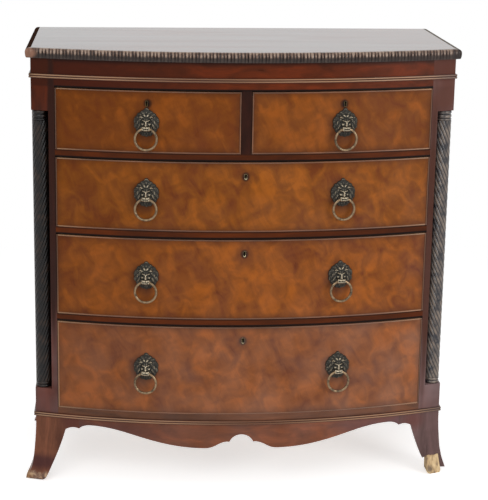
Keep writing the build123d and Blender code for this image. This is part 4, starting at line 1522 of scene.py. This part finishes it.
    def other_woods(self) -> list[Timber]:
        """The worn feet, and the linings and boards that are out of sight.

        Returns:
            The finishes.
        """
        low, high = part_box("backboards")
        joints = np.linspace(low.x, high.x, 5)
        seams = [Mark((float(x), 0.0), (0.0024, ANY), "#1c120a", 0.9, 0.6) for x in joints[1:-1]]
        seams.append(Mark((float(joints[1:3].mean()), 0.0), (0.112, ANY), "#7a5a3c", 0.35, 0.05))
        left = (
            Mark((-0.42, 0.155), (0.045, 0.04), "#55302a", 0.8, 0.8),
            Mark((-0.452, 0.1), (0.02, 0.07), "#4a2a22", 0.6, 1.0),
            Mark((-0.52, 0.046), (0.2, 0.03), "#3a2026", 0.75, 0.8),
            Mark((-0.54, 0.008), (0.026, 0.02), "#b08458", 0.55, 0.9),
        )
        right = (
            Mark((0.44, 0.15), (0.05, 0.04), "#64362e", 0.6, 0.9),
            Mark((0.492, 0.014), (0.011, 0.013), "#6c5c50", 0.85, 0.8),
        )
        toe = [(0.36, "#5c4640"), (0.5, "#8a6c5a"), (0.64, "#bc9e80")]
        chip = [(0.3, "#7a6a58"), (0.42, "#bfa27c"), (0.58, "#dcc196"), (0.7, "#ead2a8")]
        right_hand_settings = {"contrast": 0.5, "seed": (0.4, 0.1, 0.3), "core": chip}
        oak = {"figure_stretch": 0.08, "contrast": 0.5, "fibre": 0.3, "roughness": 0.6, "specular": 0.25}
        pine = {"figure_mm": 24.0, "figure_stretch": 0.06, "contrast": 0.5, "fibre": 0.25}
        pine |= {"roughness": 0.7, "specular": 0.2}
        upright = Grain.UPRIGHT
        return [
            # Veneered pine: the toe has worn through to the ground in spots.
            solid("mahogany_foot_left", "#6e4432", upright, *left, core=toe, streak=0.9),
            # The same, with the veneer lost below a line and the pale ground showing.
            solid("mahogany_foot_right", "#68504e", upright, *right, **right_hand_settings),
            # Sawn oak, never polished: open straight grain, dull.
            solid("oak_drawer_lining", "#a5845a", Grain.DEEP, **oak),
            # Sawn pine, bare and dry; the backboards' open joints are full of dirt.
            solid("pine_backboard_bare", "#94704a", upright, *seams, **pine),
            solid("pine_dustboard_bare", "#a87c4c", Grain.ACROSS, **pine),
        ]

    def mouldings(self) -> list[Finish]:
        """The carved edge, the string mouldings, the cock beads and the columns.

        Returns:
            The finishes.
        """
        crest_glints_and_tones: list[Mark] = []
        dulls = {"upper_string": (-0.12, 0.28, "#46200f", 0.55), "lower_string": (0.03, 0.27, "#5a3420", 0.8)}
        for string, (across, reach, colour, strength) in dulls.items():
            low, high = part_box(string)
            middle, quarter = (low.z + high.z) / 2, (high.z - low.z) / 4
            for height in (middle - quarter, middle + quarter):
                # Painted highlights along the two crests, over some wear.
                crest_glints_and_tones.append(Mark((0.0, height + 0.0004), (ANY, 0.0019), "#a88464", 0.85, 0.8))
            crest_glints_and_tones.append(Mark((0.52, middle), (0.09, 0.03), "#4e3c38", 0.75, 0.9))
            crest_glints_and_tones.append(Mark((-0.53, middle), (0.03, 0.03), "#241412", 0.8, 0.9))
            crest_glints_and_tones.append(Mark((across, middle), (reach, 0.03), colour, strength, 1.0))
        beads = (
            PaintedSheen(0.08),
            # Painted highlights: the beads are pale towards their left and right ends.
            Mark((-0.5, 0.0), (0.15, ANY), "#9c7858", 0.85, 1.0),
            Mark((0.52, 0.0), (0.22, ANY), "#a88060", 0.9, 1.0),
            Mark((-0.4555, 0.9), (0.006, 0.56), "#4a2c1c", 0.9, 0.3),
            Mark((0.4555, 0.5), (0.006, 0.8), "#5a3a2a", 0.85, 0.3),
        )
        edge_low, edge_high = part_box("gadroon_front")
        corner, level = edge_high.x, (edge_low.z + edge_high.z) / 2
        edges = (
            # Painted shade: a dark band along the foot of the carved edge, under its overhang.
            Mark((0.0, edge_low.z), (ANY, 0.0155), "#1a0f0b", 0.9, 0.4),
            Mark((-corner + 0.008, level), (0.024, 0.016), "#8c6450", 0.85, 0.5),
            Mark((0.5, level), (0.3, 0.03), "#3a2c28", 0.3, 1.0),
            Mark((corner, level), (0.024, 0.03), "#1c100c", 0.85, 0.6),
        )
        # Painted highlight: a pale grey strip along the top of the right side run.
        head = Mark((corner, edge_high.z), (0.4, 0.011), "#8e8880", 0.85, 0.6)
        # Pale crests and black hollows: partly wear and dirt, partly painted highlight and painted shade.
        worn = [(0.0, "#9c8676"), (0.1, "#70584a"), (0.26, "#382319"), (0.52, "#120a07")]
        # The side runs' colours are a darker, painted-shade copy of the front's.
        dark = [(0.0, "#402b21"), (0.3, "#211410"), (1.0, "#0a0504")]
        low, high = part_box("column_left")
        radius = (high.x - low.x) / 2
        depth = (low.y + high.y) / 2
        # Painted reflection and highlight for the right column: a greyer black and paler, wider crests.
        right_hand_settings = {"black": "#26252a", "rubbed": "#7a6c60", "specular": 0.5, "unworn": 0.32}
        reeds = (radius, radius - 1.9 * MM)
        return [
            # Carved by hand and rubbed for two centuries.
            Carved("gadrooned_mahogany", worn, changes=edges),
            # A darker copy of the carving for the side runs: painted shade, with no specular.
            Carved("gadrooned_mahogany_side", dark, specular=0.0, changes=(head,)),
            # Scratched to shape and polished: the two crests are bright lines, partly wear and partly painted
            # highlight.
            solid("mahogany_string", "#4a2212", Grain.ACROSS, *crest_glints_and_tones, specular=0.3),
            # Thin strips proud of the fronts, which sleeves and hands have rubbed pale; their pale ends are
            # painted highlights, and a painted sheen greys them.
            solid("mahogany_bead", "#6c472f", Grain.ACROSS, *beads, specular=0.3),
            # Turned, reeded by hand, stained black and polished.
            Ebonised("ebonised_beech", (low.x + radius, depth), *reeds),
            # The right column is a lit copy: its greyer black and paler crests are painted reflection and
            # painted highlight on the reeds.
            Ebonised("ebonised_beech_right_painted_highlights", (-low.x - radius, depth), *reeds, **right_hand_settings),
        ]

    def metals(self) -> list[Brass]:
        """The brasses: cast masks, drawn rings, and locks.

        Returns:
            The finishes.
        """
        return [
            # Sand-cast, lacquer long gone: black dirt in the hollows, dull crests.
            Brass("patinated_cast_brass", "#a89c86", "#211f19", 0.62, cast=True),
            # Drawn wire, handled: dull and brownish where hands don't reach.
            Brass("rubbed_drawn_brass", "#8c765c", "#4a3d2b", 0.46),
            # Filed plate under two centuries of polish and dust.
            Brass("lock_brass_dull", "#5a4a30", "#2e2618", 0.5, roughness=0.45),
            # Drawn thread let into the veneer, polished along with it.
            Brass("escutcheon_brass", "#b4a888", "#4a3c26", 0.4),
        ]

    def dress(self, piece: Piece, name: str) -> None:
        """Puts a finish on every slot of a piece.

        Args:
            piece: the object.
            name: the finish's name.
        """
        if not piece.data.materials:
            piece.data.materials.append(self.made[name])
        for slot in piece.material_slots:
            slot.material = self.made[name]
        LOG.info("%s: %s, %d faces", piece.name, name, len(piece.data.polygons))


@dataclass
class Case:
    """The fixed case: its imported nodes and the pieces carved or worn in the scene."""

    bow: Bow
    finishes: Finishes

    def build(self, frame: dict) -> None:
        """Dresses the case's nodes and adds the carved edge and the front feet.

        Args:
            frame: the loaded frame.
        """
        for node, finish in CASE_FINISHES.items():
            self.finishes.dress(frame["nodes"][node], finish)
        edge = GadroonedEdge(self.bow)
        for piece, node, finish in (
            (edge.front(), "gadroon_front", "gadrooned_mahogany"),
            (edge.sides(), "gadroon_sides", "gadrooned_mahogany_side"),
            (BracketFoot(self.bow, -1).build(), "front_foot_left", "mahogany_foot_left"),
            (BracketFoot(self.bow, 1).build(), "front_foot_right", "mahogany_foot_right"),
        ):
            stand_in(piece, "case", node)
            self.finishes.dress(piece, finish)


@dataclass
class Drawers:
    """The five drawers with their lion masks, keyhole rims and rings."""

    bow: Bow
    finishes: Finishes

    def build(self, frame: dict) -> None:
        """Dresses the drawers' nodes and casts their masks.

        Args:
            frame: the loaded frame.
        """
        nodes = frame["nodes"]
        for drawer in DRAWER_COLOURS:
            self.finishes.dress(nodes[f"{drawer}_front"], f"flame_mahogany_veneer_{drawer}")
            for part, finish in DRAWER_FINISHES.items():
                self.finishes.dress(nodes[f"{drawer}_{part}"], finish)
            masks = LionMask().build(drawer, frame["joints"])
            stand_in(masks, drawer, f"{drawer}_masks")
            self.finishes.dress(masks, "patinated_cast_brass")
            if drawer not in SHORT_DRAWERS:
                rim = KeyholeRim(self.bow, key_drop(drawer)).build(drawer)
                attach(rim, drawer)
                self.finishes.dress(rim, "escutcheon_brass")
        for node, piece in nodes.items():
            if "_ring" in node:
                self.finishes.dress(piece, "rubbed_drawn_brass")


def stand_in(piece: Piece, body: str, node: str) -> None:
    """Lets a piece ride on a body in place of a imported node.

    Args:
        piece: the new piece.
        body: the body that it rides on.
        node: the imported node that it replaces.
    """
    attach(piece, body)
    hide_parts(node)
    LOG.info("%s rides on %s in place of %s", piece.name, body, node)


# ---- studio


@dataclass
class Studio:
    """The camera, the floor and the soft light.

    Places are in metres and angles in degrees; the frame is in pixels and the sensor,
    the floor's rings and its gap below the feet are in millimetres.
    """

    eye: Triple = (-0.2927, -3.6646, 1.5689)
    yaw: float = 3.653
    pitch: float = 13.161
    roll: float = 0.712
    focal_px: float = 1475.77
    principal: Pair = (214.896, 190.542)
    image: tuple[int, int] = (488, 500)
    sensor: float = 36.0
    surround: float = 0.55
    lift: float = 0.56
    aim: Triple = (0.0, -0.2, 0.5)
    rings: Triple = (0.0, 1000.0, 3000.0)
    gap: float = 0.2

    def build(self) -> None:
        """Makes the camera, the lamps, the world and the floor."""
        self.camera()
        self.lamp("key", (2.7, -2.9, 1.5), 1.6, 50.0)
        self.lamp("fill", (-1.5, -3.6, 3.0), 2.6, 48.0)
        self.world()
        self.floor()
        bpy.context.scene.view_settings.view_transform = "Standard"

    def camera(self) -> None:
        """Sets the camera up from its place, its angles and its frame in pixels.

        The long side of the image spans the sensor, and the shift moves the frame so
        that the axis falls on the principal point.
        """
        yaw, pitch, roll = (math.radians(v) for v in (self.yaw, self.pitch, self.roll))
        level = math.cos(pitch)
        ahead = Vector((math.sin(yaw) * level, math.cos(yaw) * level, -math.sin(pitch)))
        right = Vector((math.cos(yaw), -math.sin(yaw), 0.0))
        up = right.cross(ahead)
        across = right * math.cos(roll) + up * math.sin(roll)
        upward = -right * math.sin(roll) + up * math.cos(roll)
        data = bpy.data.cameras.new("camera")
        long_side = max(self.image)
        data.sensor_width = self.sensor
        data.lens = self.focal_px * self.sensor / long_side
        data.shift_x = (self.image[0] / 2 - self.principal[0]) / long_side
        data.shift_y = (self.principal[1] - self.image[1] / 2) / long_side
        data.clip_end = 100.0
        camera = bpy.data.objects.new("camera", data)
        turn = Matrix((across, upward, -ahead)).transposed().to_4x4()
        camera.matrix_world = Matrix.Translation(self.eye) @ turn
        bpy.context.scene.collection.objects.link(camera)
        bpy.context.scene.camera = camera

    def lamp(self, name: str, place: Triple, size: float, power: float) -> None:
        """Adds a square soft light that faces the chest.

        Args:
            name: its name.
            place: where it stands.
            size: its side.
            power: its power in watts.
        """
        data = bpy.data.lights.new(name, "AREA")
        data.size = size
        data.energy = power
        lamp = bpy.data.objects.new(name, data)
        lamp.location = place
        lamp.rotation_euler = (Vector(self.aim) - Vector(place)).to_track_quat("-Z", "Y").to_euler()
        bpy.context.scene.collection.objects.link(lamp)

    def seen(self, graph: Graph) -> Socket:
        """One for a camera, glossy or transmission ray, else nothing.

        Args:
            graph: the tree of the world or the floor.

        Returns:
            The share.
        """
        rays = [graph.add("LightPath", out=f"Is {kind} Ray") for kind in ("Camera", "Glossy", "Transmission")]
        both = graph.add("Math", {0: rays[0], 1: rays[1]}, operation="MAXIMUM")
        return graph.add("Math", {0: both, 1: rays[2]}, operation="MAXIMUM")

    def world(self) -> None:
        """Makes a white surround that lights softly and shows as white."""
        world = bpy.data.worlds.new("surround")
        graph = Graph(world)
        limits = {"To Min": self.surround, "To Max": 1.0}
        strength = graph.add("MapRange", {"Value": self.seen(graph), **limits})
        back = graph.add("Background", {"Color": (1, 1, 1, 1), "Strength": strength})
        graph.add("OutputWorld", {"Surface": back})
        bpy.context.scene.world = world

    def floor(self) -> None:
        """Makes a round white floor that fades into the surround away from the chest."""
        turn = around(96)
        radius = np.array(self.rings)[:, None]
        surface = Surface()
        surface.grid(joined(radius * np.cos(turn), radius * np.sin(turn), -self.gap), wrap=True)
        floor = surface.build("studio_floor")
        material = bpy.data.materials.new("white_studio_floor")
        graph = Graph(material)
        place = graph.add("TexCoord", out="Object")
        away = graph.add("VectorMath", {0: place}, "Value", operation="LENGTH")
        fade = graph.add("MapRange", {"Value": away, "From Min": 0.8, "From Max": 2.2}, **SMOOTH)
        share = graph.add("Math", {0: fade, 1: self.seen(graph)}, operation="MULTIPLY")
        lift = graph.add("Math", {0: self.seen(graph), 1: self.lift}, operation="MULTIPLY")
        # Matt painted board: even, with no gloss to mirror the feet.
        matt = graph.add("BsdfDiffuse", {"Color": linear("#f6f6f6")})
        glow, white = (graph.add("Emission", {"Color": (1, 1, 1, 1), "Strength": s}) for s in (lift, 1.0))
        lifted = graph.add("AddShader", {0: matt, 1: glow})
        mixed = graph.add("MixShader", {0: share, 1: lifted, 2: white})
        graph.add("OutputMaterial", {"Surface": mixed})
        floor.data.materials.append(material)
        floor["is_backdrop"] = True


def corners() -> list[list[float]]:
    """The shown object's lowest and highest corner as plain numbers."""
    return [[float(value) for value in corner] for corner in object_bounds()]


def main() -> None:
    """Loads the frame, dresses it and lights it."""
    logging.basicConfig(level=logging.INFO, format="%(message)s")
    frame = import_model()
    bow = Bow.of_case()
    finishes = Finishes(frame["joints"])
    Case(bow, finishes).build(frame)
    Drawers(bow, finishes).build(frame)
    Studio().build()


if __name__ == "__main__":
    main()
